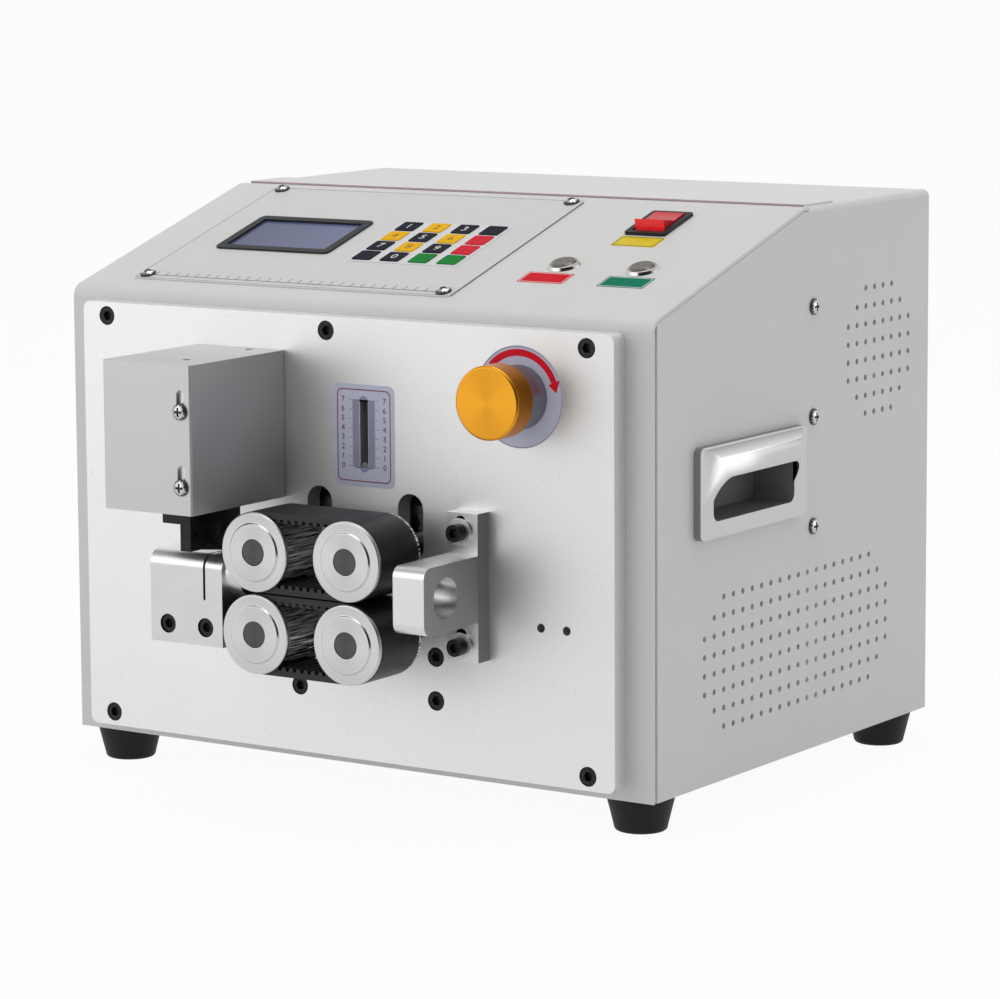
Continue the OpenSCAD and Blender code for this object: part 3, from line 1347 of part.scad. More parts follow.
module shaft_lower_left() roller_shaft(roller_left_x, lower_z, idle_end);
module shaft_lower_right() roller_shaft(roller_right_x, lower_z, drive_end);
module shaft_upper_left() roller_shaft(roller_left_x, upper_z, drive_end);
module shaft_upper_right() roller_shaft(roller_right_x, upper_z, idle_end);
module core_lower_left() roller_core(roller_left_x, lower_z, left_turn);
module core_lower_right() roller_core(roller_right_x, lower_z, right_turn);
module core_upper_left() roller_core(roller_left_x, upper_z, left_turn);
module core_upper_right() roller_core(roller_right_x, upper_z, right_turn);
module flange_lower_left() roller_flange(roller_left_x, lower_z);
module flange_lower_right() roller_flange(roller_right_x, lower_z);
module flange_upper_left() roller_flange(roller_left_x, upper_z);
module flange_upper_right() roller_flange(roller_right_x, upper_z);

// Coupling between a roller's shaft and its motor, with the motor's shaft in it
module coupling(x, z) {
    y0 = carriage_back + 3;
    y1 = motor_plate_y - 3;
    color([0.7, 0.7, 0.72]) place() {
        difference() {
            bar_y(x, z, 26, y0, y1);
            bar_y(x, z, shaft_d, y0 - 1, drive_end);
            for (y = [y0 + 6, y1 - 6], a = [0, 90]) translate([x, y, z]) rotate([0, a, 0])
                translate([0, 0, 9]) cylinder(d = 3, h = 10);
        }
        bar_y(x, z, motor_shaft_d, y1 - eps, motor_face_y + 2);
    }
}
module lower_coupling() coupling(roller_right_x, lower_z);
module upper_coupling() coupling(roller_left_x, upper_z);

// Closed loop about both rollers of a pair, at distance r from their axes
module loop(r) {
    translate([roller_left_x, -r]) square([roller_pitch_x, 2 * r]);
    for (x = [roller_left_x, roller_right_x]) translate([x, 0]) circle(r);
}

// Toothed belt: its teeth lie in the cores' grooves and hang under both runs
module belt(z) {
    count = floor(roller_pitch_x / belt_pitch);
    reach = core_r - tooth_h + tooth_r;
    color([0.12, 0.12, 0.12]) place() translate([0, 0, z])
        from_front(front_flange_y + belt_edge_gap, core_y - belt_edge_gap) {
            difference() {
                loop(belt_out_r);
                loop(belt_in_r);
            }
            for (k = [0 : floor(core_teeth / 2)]) {
                translate([roller_left_x, 0]) rotate(90 + k * tooth_a) belt_tooth(reach);
                translate([roller_right_x, 0]) rotate(right_turn - k * tooth_a) belt_tooth(reach);
            }
            for (k = [1 : count]) {
                translate([roller_left_x + k * belt_pitch, 0]) rotate(90) belt_tooth(reach);
                translate([roller_right_x - k * belt_pitch, 0]) rotate(-90) belt_tooth(reach);
            }
        }
}

// One round-nosed tooth along +X that stands on the belt's inner face
module belt_tooth(reach) {
    translate([reach, 0]) circle(tooth_r, $fn = 24);
    translate([reach, -tooth_r]) square([belt_in_r - reach + 0.4, 2 * tooth_r]);
}
module lower_belt() belt(lower_z);
module upper_belt() belt(upper_z);

// Power supply on the cabinet's bottom, with a slotted lid and a terminal strip
module power_supply() {
    w = 98;
    l = 159;
    h = 42;
    color([0.7, 0.72, 0.72]) place() translate([-inner_x + 20, cab_d - 20 - l, sheet_t]) {
        difference() {
            cube([w, l, h]);
            translate([-1, -1, 14]) cube([w + 2, 18, h]);
            for (i = [0 : 9]) translate([18, 40 + i * 11, h - 1.5]) cube([w - 36, 4, 3]);
        }
        for (i = [0 : 6]) translate([6 + i * 12.5, 4, 14 - eps]) cube([10, 11, 9]);
    }
}

// Controller board on four pillars with its drivers and terminal blocks
module controller_board() {
    w = 150;
    l = 100;
    t = 1.6;
    rise = 8;
    color([0.1, 0.35, 0.2]) place() translate([20, cab_d - 30 - l, sheet_t]) {
        translate([0, 0, rise]) cube([w, l, t]);
        for (x = [5, w - 5], y = [5, l - 5]) translate([x, y, 0]) cylinder(d = 6, h = rise + eps);
        for (i = [0 : 2]) translate([15 + i * 46, 30, rise + t - eps]) cube([34, 44, 20]);
        for (i = [0 : 5]) translate([12 + i * 22, 4, rise + t - eps]) cube([16, 9, 11]);
    }
}

chassis();
front_panel();
cover();
pan_screws();
feet();
handle_right();
handle_left();
power_inlet();
control_overlay();
display_bezel();
display_glass();
keypad();
switch_frame();
power_rocker();
button_rims();
stop_button();
start_button();
front_plate();
socket_screws();
outlet_block();
inlet_guide();
guide_fasteners();
cutter_guard();
guard_bracket();
blade_rail();
slide_block();
blade_holder();
blade();
cutter_pinion();
cutter_motor();
knob_collar();
lift_knob();
lift_shaft();
upper_carriage();
scale_pointer();
upper_motor();
upper_bearings();
guide_posts();
press_springs();
lower_block();
lower_motor();
lower_bearings();
shaft_lower_left();
core_lower_left();
flange_lower_left();
shaft_lower_right();
core_lower_right();
flange_lower_right();
lower_coupling();
shaft_upper_left();
core_upper_left();
flange_upper_left();
upper_coupling();
shaft_upper_right();
core_upper_right();
flange_upper_right();
lower_belt();
upper_belt();
power_supply();
controller_board();
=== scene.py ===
"""Gives the tube cutting machine its finishes, printed marks, light and camera."""

import json
import math

import bpy
from mathutils import Matrix, Vector

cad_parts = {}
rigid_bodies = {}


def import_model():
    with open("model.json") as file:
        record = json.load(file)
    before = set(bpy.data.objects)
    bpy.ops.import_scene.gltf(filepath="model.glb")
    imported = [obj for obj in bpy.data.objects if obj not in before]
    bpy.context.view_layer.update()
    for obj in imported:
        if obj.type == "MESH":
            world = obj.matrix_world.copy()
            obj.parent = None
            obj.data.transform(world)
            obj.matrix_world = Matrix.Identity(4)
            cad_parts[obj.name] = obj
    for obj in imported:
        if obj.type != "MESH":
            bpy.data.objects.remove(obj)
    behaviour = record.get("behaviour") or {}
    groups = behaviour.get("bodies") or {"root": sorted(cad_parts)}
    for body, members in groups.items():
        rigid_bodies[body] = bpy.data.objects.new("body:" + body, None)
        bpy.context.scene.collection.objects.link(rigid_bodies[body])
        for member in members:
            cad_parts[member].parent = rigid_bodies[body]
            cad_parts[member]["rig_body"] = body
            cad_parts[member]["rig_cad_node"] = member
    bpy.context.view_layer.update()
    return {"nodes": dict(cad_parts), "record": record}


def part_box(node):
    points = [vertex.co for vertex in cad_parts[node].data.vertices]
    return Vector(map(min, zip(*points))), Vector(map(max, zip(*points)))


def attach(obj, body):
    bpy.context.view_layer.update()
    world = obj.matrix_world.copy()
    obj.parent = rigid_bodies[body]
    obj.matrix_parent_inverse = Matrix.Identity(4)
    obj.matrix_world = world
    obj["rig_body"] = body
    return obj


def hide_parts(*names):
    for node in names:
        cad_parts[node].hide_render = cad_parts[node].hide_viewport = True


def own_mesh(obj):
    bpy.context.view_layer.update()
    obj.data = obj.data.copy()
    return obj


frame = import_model()
nodes = frame["nodes"]
bodies = frame["record"]["behaviour"]["bodies"]
body_of = {node: body for body, members in bodies.items() for node in members}
slot_of = {part["node"]: part["material_slot"] for part in frame["record"]["subparts"]}
scene = bpy.context.scene

# Millimetres in the frame of the cabinet's front lower edge, as the machine was measured
MM = 0.001
MID_Y = 107.6
FOOT_H = 20.0
FRONT_H = 264.0
SIDE_FACE = 200.0
GUARD_FACE = -100.0
PLATE_FACE = -12.0
SLOPE = math.atan2(50.0, 165.0)
# Direction that stands upright on the sloped panel
RISE = Vector((0.0, -math.sin(SLOPE), math.cos(SLOPE)))


def at(x, y, z):
    """Place in metres of a point given in millimetres from the cabinet's front lower edge."""
    return Vector((x * MM, (y - MID_Y) * MM, (z + FOOT_H) * MM))


def on_slope(x, s, h=0.0):
    """Place in metres of a point s millimetres up the sloped panel and h above it."""
    y = s * math.cos(SLOPE) - h * math.sin(SLOPE)
    return at(x, y, FRONT_H + s * math.sin(SLOPE) + h * math.cos(SLOPE))


def slope_matrix(x, s, h=0.0):
    """Frame on the sloped panel: X to the right, Y up the slope, Z out of it."""
    return Matrix.Translation(on_slope(x, s, h)) @ Matrix.Rotation(SLOPE, 4, "X")


def plate_matrix(x, z, out=0.0):
    """Frame on the front plate: X to the right, Y up, Z out of the plate."""
    return Matrix.Translation(at(x, PLATE_FACE - out, z)) @ Matrix.Rotation(math.pi / 2, 4, "X")


KNOB_X = 122.0
KNOB_Z = 220.4
KNOB_AXIS = at(KNOB_X, PLATE_FACE, KNOB_Z)
GUIDE_FOOT_Y = -23.2
OVERLAY_T = 0.8
# Thickness of a sticker, and of the ink on a film
FILM_T = 0.12
PRINT = 0.04


# Materials


def linear(code):
    """Linear colour of an sRGB hex value."""
    out = []
    for i in (0, 2, 4):
        c = int(code[i : i + 2], 16) / 255
        out.append(c / 12.92 if c <= 0.04045 else ((c + 0.055) / 1.055) ** 2.4)
    return (*out, 1.0)


def add(owner, kind, inputs=None, out=None, **settings):
    """Adds a node with its settings and links, and gives the named output or else its first.

    An input's value is a constant or the output that it is linked from.
    """
    node = owner.node_tree.nodes.new(kind)
    for key, value in settings.items():
        setattr(node, key, value)
    for key, value in (inputs or {}).items():
        if isinstance(value, bpy.types.NodeSocket):
            owner.node_tree.links.new(value, node.inputs[key])
        else:
            node.inputs[key].default_value = value
    return node.outputs[out] if out else next(o for o in node.outputs if o.enabled)


def surface(name, color, roughness, metallic=0.0, **constants):
    """A material with one Principled shader, and that shader."""
    mat = bpy.data.materials.new(name)
    mat.use_nodes = True
    shader = mat.node_tree.nodes["Principled BSDF"]
    shader.inputs["Base Color"].default_value = linear(color)
    shader.inputs["Roughness"].default_value = roughness
    shader.inputs["Metallic"].default_value = metallic
    for key, value in constants.items():
        shader.inputs[key.replace("_", " ")].default_value = value
    mat.diffuse_color = linear(color)
    return mat, shader


def connect(mat, shader, outputs):
    """Links the shader's named inputs from nodes."""
    for name, output in outputs.items():
        mat.node_tree.links.new(output, shader.inputs[name])


def pattern(mat, shader, tone, colors, grain, roughness, depth=0.0, strength=0.5):
    """Blends two colours by one pattern; another one varies the roughness and raises the skin.

    Both patterns go from 0 to 1, and depth is the skin's height in millimetres.
    """
    dark, light = (linear(c) if isinstance(c, str) else c for c in colors)
    low, high = roughness
    outputs = {
        "Base Color": add(mat, "ShaderNodeMix", {"Factor": tone, "A": dark, "B": light}, data_type="RGBA"),
        "Roughness": add(mat, "ShaderNodeMapRange", {"Value": grain, "To Min": low, "To Max": high}),
    }
    if depth:
        skin = {"Height": grain, "Distance": depth * MM, "Strength": strength}
        outputs["Normal"] = add(mat, "ShaderNodeBump", skin)
    connect(mat, shader, outputs)


def powder_coat():
    """Baked polyester powder on sheet steel: fine orange peel of about 0.9 mm, soft sheen."""
    mat, shader = surface("powder_coated_steel", "DBDBDA", 0.42, Specular_IOR_Level=0.5)
    where = add(mat, "ShaderNodeTexCoord", out="Object")
    peel = add(mat, "ShaderNodeTexNoise", {"Vector": where, "Scale": 1 / (0.9 * MM), "Detail": 1.0})
    cloud = add(mat, "ShaderNodeTexNoise", {"Vector": where, "Scale": 1 / (50 * MM), "Detail": 2.0})
    pattern(mat, shader, cloud, ("D8D8D7", "DEDEDD"), peel, (0.38, 0.48), 0.06, 0.7)
    return mat


def blasted_aluminium():
    """Bead-blasted and clear-anodised plate: even silver grey with sparse darker pores of 0.5 mm.

    The grit is drawn 0.5 mm wide, coarser than the real one, so that it shows.
    """
    mat, shader = surface("blasted_anodised_aluminium", "EAEAEA", 0.48, 1.0)
    where = add(mat, "ShaderNodeTexCoord", out="Object")
    grit = add(mat, "ShaderNodeTexNoise", {"Vector": where, "Scale": 1 / (0.5 * MM), "Detail": 2.0})
    spots = add(mat, "ShaderNodeTexNoise", {"Vector": where, "Scale": 1 / (1.6 * MM), "Detail": 3.0})
    pores = add(mat, "ShaderNodeMapRange", {"Value": spots, "From Min": 0.66, "From Max": 0.76})
    cloud = add(mat, "ShaderNodeTexNoise", {"Vector": where, "Scale": 1 / (60 * MM), "Detail": 3.0})
    greys = {"Factor": cloud, "A": linear("EEEEEE"), "B": linear("F4F4F4")}
    base = add(mat, "ShaderNodeMix", greys, data_type="RGBA")
    pattern(mat, shader, pores, (base, "DADADA"), grit, (0.42, 0.56), 0.03)
    return mat


def milled_aluminium(
    name="milled_aluminium", light="E6E6E6", dark="DADADA", rough=(0.26, 0.4), depth=0.02
):
    """Milled metal with faint parallel cutter marks about 0.8 mm apart."""
    mat, shader = surface(name, light, 0.3, 1.0)
    where = add(mat, "ShaderNodeTexCoord", out="Object")
    along = add(mat, "ShaderNodeMapping", {"Vector": where, "Scale": (1.0, 0.06, 1.0)})
    marks = add(mat, "ShaderNodeTexNoise", {"Vector": along, "Scale": 1 / (0.8 * MM), "Detail": 2.0})
    cloud = add(mat, "ShaderNodeTexNoise", {"Vector": where, "Scale": 1 / (20 * MM), "Detail": 2.0})
    pattern(mat, shader, cloud, (dark, light), marks, rough, depth)
    return mat


def turned(name, center, light, dark, rough, pitch=0.6, axis=(0.0, 1.0, 0.0), streak=0.45):
    """Lathe-turned metal: rings about an axis, and a fan of light across them.

    The rings are drawn 0.4 to 0.6 mm apart, wider than the real ones, so that they show.
    """
    mat, shader = surface(name, light, rough, 1.0, Anisotropic=streak)
    where = add(mat, "ShaderNodeTexCoord", out="Object")
    off = add(mat, "ShaderNodeMapping", {"Vector": where, "Location": tuple(-c for c in center)})
    along = add(mat, "ShaderNodeVectorMath", {0: off, 1: axis}, operation="DOT_PRODUCT")
    rod = add(mat, "ShaderNodeVectorMath", {0: axis, "Scale": along}, operation="SCALE")
    radial = add(mat, "ShaderNodeVectorMath", {0: off, 1: rod}, operation="SUBTRACT")
    radius = add(mat, "ShaderNodeVectorMath", {0: radial}, operation="LENGTH")
    around = add(mat, "ShaderNodeVectorMath", {0: axis, 1: radial}, operation="CROSS_PRODUCT")
    line = {"W": radius, "Scale": 1 / (pitch * MM), "Detail": 1.0}
    rings = add(mat, "ShaderNodeTexNoise", line, noise_dimensions="1D")
    connect(mat, shader, {"Tangent": around})
    pattern(mat, shader, rings, (dark, light), rings, (rough - 0.08, rough + 0.08), 0.02, 0.6)
    return mat


def fluted_steel():
    """Ground fluted cores in lines 0.7 mm apart along the roller: painted highlights on the crests and
    painted shade in the flanks.
    """
    mat, shader = surface("fluted_steel_painted_highlight", "D0D0D0", 0.16, 0.4)
    where = add(mat, "ShaderNodeTexCoord", out="Object")
    along = add(mat, "ShaderNodeMapping", {"Vector": where, "Scale": (1.0, 0.03, 1.0)})
    lines = add(mat, "ShaderNodeTexNoise", {"Vector": along, "Scale": 1 / (0.7 * MM), "Detail": 2.0})
    painted_crest_highlight = add(mat, "ShaderNodeMapRange", {"Value": lines, "From Min": 0.42, "From Max": 0.56})
    pattern(mat, shader, painted_crest_highlight, ("323233", "FAFAFA"), lines, (0.1, 0.3), 0.12, 0.8)
    return mat


def satin_sheet():
    """Anodised aluminium sheet of the guard: even satin grey, its fine grain drawn 0.4 mm wide to show."""
    mat, shader = surface("satin_anodised_sheet", "CDCDCE", 0.42, 0.85)
    where = add(mat, "ShaderNodeTexCoord", out="Object")
    grain = add(mat, "ShaderNodeTexNoise", {"Vector": where, "Scale": 1 / (0.4 * MM), "Detail": 2.0})
    pattern(mat, shader, grain, ("C6C6C7", "D4D4D5"), grain, (0.38, 0.5), 0.02, 0.4)
    return mat


def plated_steel():
    """Nickel-plated steel screws and rims: bright with small handling marks."""
    mat, shader = surface("nickel_plated_steel", "D8D6D2", 0.18, 1.0)
    where = add(mat, "ShaderNodeTexCoord", out="Object")
    marks = add(mat, "ShaderNodeTexNoise", {"Vector": where, "Scale": 1 / (1.5 * MM), "Detail": 3.0})
    gloss = add(mat, "ShaderNodeMapRange", {"Value": marks, "To Min": 0.12, "To Max": 0.28})
    connect(mat, shader, {"Roughness": gloss})
    return mat


def chromed_plastic():
    """Chrome-plated moulded handle, satin where light pools."""
    mat, shader = surface("satin_chrome_plated_abs", "D8D8D8", 0.15, 1.0)
    where = add(mat, "ShaderNodeTexCoord", out="Object")
    soft = add(mat, "ShaderNodeTexNoise", {"Vector": where, "Scale": 1 / (12 * MM), "Detail": 2.0})
    gloss = add(mat, "ShaderNodeMapRange", {"Value": soft, "To Min": 0.15, "To Max": 0.24})
    waves = add(mat, "ShaderNodeBump", {"Height": soft, "Distance": 0.08 * MM, "Strength": 0.3})
    connect(mat, shader, {"Roughness": gloss, "Normal": waves})
    return mat


def ground_steel(name="ground_steel", light="9A9A9C", dark="7E7E80", rough=(0.2, 0.34)):
    """Ground tool steel with long fine scratches, drawn 0.5 mm apart so that they show."""
    mat, shader = surface(name, light, 0.26, 1.0)
    where = add(mat, "ShaderNodeTexCoord", out="Object")
    upright = add(mat, "ShaderNodeMapping", {"Vector": where, "Scale": (1.0, 1.0, 0.05)})
    lines = add(mat, "ShaderNodeTexNoise", {"Vector": upright, "Scale": 1 / (0.5 * MM), "Detail": 2.0})
    pattern(mat, shader, lines, (dark, light), lines, rough)
    return mat


def black_oxide():
    """Blackened steel of screws and blade holder: nearly black, a dull oily sheen."""
    mat, shader = surface("black_oxide_steel", "2A2A2C", 0.38, 0.7)
    where = add(mat, "ShaderNodeTexCoord", out="Object")
    blotch = add(mat, "ShaderNodeTexNoise", {"Vector": where, "Scale": 1 / (3 * MM), "Detail": 3.0})
    pattern(mat, shader, blotch, ("222224", "363638"), blotch, (0.3, 0.46))
    return mat


def belt_rubber():
    """Ground polyurethane-rubber belt: charcoal with a dull bloom and faint cross grain."""
    mat, shader = surface("ground_belt_rubber", "161617", 0.42, Specular_IOR_Level=0.5)
    where = add(mat, "ShaderNodeTexCoord", out="Object")
    across = add(mat, "ShaderNodeMapping", {"Vector": where, "Scale": (1.0, 0.15, 1.0)})
    grain = add(mat, "ShaderNodeTexNoise", {"Vector": across, "Scale": 1 / (0.6 * MM), "Detail": 2.0})
    cloud = add(mat, "ShaderNodeTexNoise", {"Vector": where, "Scale": 1 / (8 * MM), "Detail": 3.0})
    pattern(mat, shader, cloud, ("121213", "1B1B1C"), grain, (0.36, 0.5), 0.06, 0.6)
    return mat


def foot_rubber():
    """Moulded rubber foot: black with a fine matt skin, its grain drawn 1.2 mm wide to show."""
    mat, shader = surface("moulded_rubber", "151516", 0.5, Specular_IOR_Level=0.3)
    where = add(mat, "ShaderNodeTexCoord", out="Object")
    skin = add(mat, "ShaderNodeTexNoise", {"Vector": where, "Scale": 1 / (1.2 * MM), "Detail": 2.0})
    pattern(mat, shader, skin, ("111112", "19191A"), skin, (0.42, 0.6), 0.08)
    return mat


def moulded(name, light, dark, rough=0.4, grain=0.8, depth=0.04, **constants):
    """Injection-moulded plastic with a spark-eroded grain, drawn coarser than it is so that it shows."""
    mat, shader = surface(name, light, rough, **constants)
    where = add(mat, "ShaderNodeTexCoord", out="Object")
    skin = add(mat, "ShaderNodeTexNoise", {"Vector": where, "Scale": 1 / (grain * MM), "Detail": 2.0})
    pattern(mat, shader, skin, (dark, light), skin, (rough - 0.06, rough + 0.08), depth)
    return mat


def film(name, light, dark, rough=0.36, gloss=0.14):
    """Printed polyester film: flat colour under a satin face, its fine tooth drawn 0.5 mm wide to show."""
    mat, shader = surface(name, light, rough, Specular_IOR_Level=gloss)
    where = add(mat, "ShaderNodeTexCoord", out="Object")
    tooth = add(mat, "ShaderNodeTexNoise", {"Vector": where, "Scale": 1 / (0.5 * MM), "Detail": 1.0})
    cloud = add(mat, "ShaderNodeTexNoise", {"Vector": where, "Scale": 1 / (12 * MM), "Detail": 1.0})
    pattern(mat, shader, cloud, (dark, light), tooth, (rough - 0.06, rough + 0.06), 0.02, 0.4)
    return mat


def display_screen():
    """Liquid crystal panel behind acrylic: violet-blue that lightens towards one side, glossy."""
    mat, shader = surface("liquid_crystal_screen", "5D6487", 0.16, Specular_IOR_Level=0.3)
    low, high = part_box("display_glass")
    where = add(mat, "ShaderNodeTexCoord", out="Object")
    off = add(mat, "ShaderNodeMapping", {"Vector": where, "Location": tuple(-c for c in low)})
    x = add(mat, "ShaderNodeSeparateXYZ", {"Vector": off}, out="X")
    across = add(mat, "ShaderNodeMapRange", {"Value": x, "From Max": high.x - low.x})
    blues = {"Factor": across, "A": linear("4E5474"), "B": linear("6C7398")}
    connect(mat, shader, {"Base Color": add(mat, "ShaderNodeMix", blues, data_type="RGBA")})
    return mat


FINISHES = {
    "powder": powder_coat(),
    "blasted": blasted_aluminium(),
    "milled": milled_aluminium(),
    "guide": milled_aluminium("milled_guide_block", "EEEEEE", "E6E6E6", (0.3, 0.36), 0.006),
    # The guide's right-facing faces: the same milled metal painted darker as shade and dark reflection, its
    # foot plate's edge darker still
    "guide_flank_shade": milled_aluminium("painted_shade_guide_flank", "B6B6B7", "AAAAAB", (0.34, 0.42), 0.006),
    "guide_foot_shade": milled_aluminium("painted_shade_guide_foot", "9C9C9E", "8E8E90", (0.36, 0.48), 0.01),
    "milled_dark": milled_aluminium("cast_tooling_plate", "C4C4C6", "B2B2B5", (0.34, 0.48)),
    "satin": satin_sheet(),
    # Cores: the flutes' crests carry a painted highlight and their flanks painted shade
    "fluted": fluted_steel(),
    "gold": turned("gold_anodised_aluminium", KNOB_AXIS, "F3AE38", "EAA02A", 0.36, 0.4),
    # The knob's round side: the same gold, painted darker as shade and dark reflection
    "gold_side_shade": turned(
        "gold_anodised_painted_side_shade", KNOB_AXIS, "C67C18", "B46E12", 0.36, 0.4, streak=0.1
    ),
    "collar": turned("turned_collar", KNOB_AXIS, "A4A4A9", "909096", 0.44),
    "plated": plated_steel(),
    "washer": milled_aluminium("satin_zinc_washer", "F0F0F0", "E2E2E2", (0.34, 0.46)),
    # Pan heads' rims and recesses: painted dark as shade and dark reflection
    "screw_painted_dark": moulded("painted_dark_plating_reflection", "3C3A39", "2E2C2B", 0.36, 1.0),
    # Inside the handles' cups: dark grey painted shade on the chrome moulding
    "cup": moulded("painted_shade_grey_cup", "848486", "79797B", 0.5, Specular_IOR_Level=0.3),
    # The handle frames' thin edge: grey painted shade on the chrome moulding
    "frame_edge_shade": moulded("painted_shade_frame_edge", "8E8E90", "828284", 0.5),
    # Dark strip in the seam: a painted shadow in the joint under the cover's hem
    "seam_shade": film("seam_painted_shadow", "A6929C", "9C8892"),
    "seam_tape": film("seam_tape_rose", "CBB3BB", "C3ABB3"),
    # Dark grey print, also laid on the overlay's right wall as painted shade along its edge
    "ruler": film("dark_grey_print_and_edge_shade", "7C7C80", "747478"),
    "chrome": chromed_plastic(),
    "steel": ground_steel(),
    "blade": ground_steel("hardened_blade_steel", "6E6E72", "5A5A5E", (0.16, 0.26)),
    "black": black_oxide(),
    "belt": belt_rubber(),
    "foot": foot_rubber(),
    "bezel": moulded("moulded_black_abs", "232428", "1A1B1F", 0.42, Specular_IOR_Level=0.3),
    "red": moulded(
        "glossy_red_polycarbonate", "D8232A", "CA1C23", 0.26, 4.0, 0.01, Specular_IOR_Level=0.2
    ),
    # The rocker's front face: its faint red glow is painted light, standing in for the light falling on
    # that face
    "red_front_glow": moulded(
        "red_polycarbonate_painted_glow",
        "F0282B",
        "E62024",
        0.24,
        4.0,
        0.01,
        Emission_Color=linear("E02024"),
        Emission_Strength=0.35,
    ),
    "board": moulded("fibreglass_board", "1F6B46", "185338", 0.4, 1.0),
    "enamel": moulded("motor_enamel", "2C2D31", "222327", 0.38, 1.2),
    "zinc": milled_aluminium("zinc_plated_sheet", "BFC2C4", "A8ABAE", (0.3, 0.42)),
    "overlay": film("overlay_film_grey", "DADAD9", "D4D4D3"),
    "lavender": film("label_film_lavender", "D2D4E7", "C9CBE0"),
    "lavender_dark": film("label_print_grey", "9FA0B8", "9495AE"),
    "maroon": film("label_print_maroon", "8E3A66", "83335C"),
    "label_red": film("label_print_red", "DC1B2A", "D01624", 0.5, 0.05),
    "arrow_red": film("arrow_print_red", "EC2436", "E01E2F", 0.5, 0.05),
    "label_green": film("label_print_green", "007F63", "007459", 0.5, 0.05),
    "label_yellow": film("label_print_yellow", "E8CE28", "DDC220"),
    "ink": film("printed_ink_black", "33343A", "2C2D32"),
    "key_navy": film("key_film_navy", "171A2A", "121523", 0.45, 0.05),
    "key_yellow": film("key_film_yellow", "F4BC0A", "EAB208", 0.45, 0.05),
    "key_red": film("key_film_red", "DE2436", "D01C2E", 0.45, 0.05),
    "key_green": film("key_film_green", "0C8A34", "087C2D", 0.45, 0.05),
    "key_gap": film("membrane_film_white", "E2E2E4", "DADADC"),
    "legend_white": film("printed_ink_white", "EDEDED", "E4E4E4"),
    "legend_yellow": film("printed_ink_amber", "7E5606", "745005"),
    "screen": display_screen(),
}


# Mesh tools


def deselect():
    """Deselects everything, because an operator acts on all that is selected."""
    for obj in bpy.context.selected_objects:
        obj.select_set(False)


def activate(obj):
    """Makes an object the only selected one, and the active one."""
    deselect()
    obj.select_set(True)
    bpy.context.view_layer.objects.active = obj


def settle(obj, matrix):
    """Puts the object's place into its mesh, so that the object sits at the origin."""
    obj.data.transform(matrix)
    obj.matrix_world = Matrix.Identity(4)
    obj.data.update()


def smooth(obj, degrees):
    """Smooth shading over edges that bend less than an angle."""
    activate(obj)
    bpy.ops.object.shade_smooth_by_angle(angle=math.radians(degrees))


def finish_piece(obj, name, material, body, slot, replaced=()):
    """Names a piece and gives it its finish and body; material is a key of FINISHES or a material, and slot
    is not used.
    """
    obj.name = obj.data.name = name
    obj.data.materials.clear()
    obj.data.materials.append(FINISHES[material] if isinstance(material, str) else material)
    if replaced:
        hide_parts(*replaced)
    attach(obj, body)
    return obj


def merged_copy(node):
    """Copy of a CAD node with its triangles merged to flat faces of a closed mesh."""
    obj = nodes[node].copy()
    obj.data = nodes[node].data.copy()
    obj.parent = None
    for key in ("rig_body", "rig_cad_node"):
        if key in obj:
            del obj[key]
    scene.collection.objects.link(obj)
    obj.matrix_world = Matrix.Identity(4)
    activate(obj)
    bpy.ops.object.mode_set(mode="EDIT")
    bpy.ops.mesh.select_all(action="SELECT")
    bpy.ops.mesh.remove_doubles(threshold=1e-6)
    bpy.ops.mesh.dissolve_limited(angle_limit=math.radians(0.6))
    bpy.ops.object.mode_set(mode="OBJECT")
    return obj


def stand_in(obj, node, material):
    """Makes a finished copy stand for its CAD node."""
    return finish_piece(obj, node + "_finished", material, body_of[node], slot_of[node], (node,))


def soften(node, material, width, segments=2):
    """Copy of a CAD node with edges sharper than 35 degrees rounded, which stands for the node."""
    obj = merged_copy(node)
    bevel = obj.modifiers.new("edges", "BEVEL")
    bevel.width = width * MM
    bevel.segments = segments
    bevel.limit_method = "ANGLE"
    bevel.angle_limit = math.radians(35)
    bpy.ops.object.modifier_apply(modifier="edges")
    smooth(obj, 40)
    weigh = obj.modifiers.new("normals", "WEIGHTED_NORMAL")
    weigh.keep_sharp = True
    bpy.ops.object.modifier_apply(modifier="normals")
    return stand_in(obj, node, material)


def repaint(obj, finish, test):
    """Gives another finish to the faces that pass a test of their middle and their normal.

    The middle is in millimetres in the cabinet's frame.
    """
    obj.data.materials.append(FINISHES[finish])
    for face in obj.data.polygons:
        x, y, z = face.center / MM
        if test(Vector((x, y + MID_Y, z - FOOT_H)), face.normal):
            face.material_index = len(obj.data.materials) - 1


def extruded(name, curve, matrix, height, material, slot):
    """Piece of a height in millimetres from a flat curve, standing on the plane of matrix."""
    curve.extrude = height * MM / 2
    obj = bpy.data.objects.new(name, curve)
    scene.collection.objects.link(obj)
    activate(obj)
    bpy.ops.object.convert(target="MESH")
    obj = bpy.context.view_layer.objects.active
    settle(obj, matrix @ Matrix.Translation((0, 0, height * MM / 2)))
    return finish_piece(obj, name, material, "machine", slot)


def flat_shape(name, loops, matrix, height, material, slot):
    """Thin plate from an outline and its holes, drawn in millimetres in the plane of matrix."""
    curve = bpy.data.curves.new(name, "CURVE")
    curve.dimensions = "2D"
    curve.fill_mode = "BOTH"
    for points in loops:
        spline = curve.splines.new("POLY")
        spline.points.add(len(points) - 1)
        for p, (x, y) in zip(spline.points, points):
            p.co = (x * MM, y * MM, 0, 1)
        spline.use_cyclic_u = True
    return extruded(name, curve, matrix, height, material, slot)


def polar(r, degrees):
    """Point at a radius and an angle."""
    return (r * math.cos(math.radians(degrees)), r * math.sin(math.radians(degrees)))


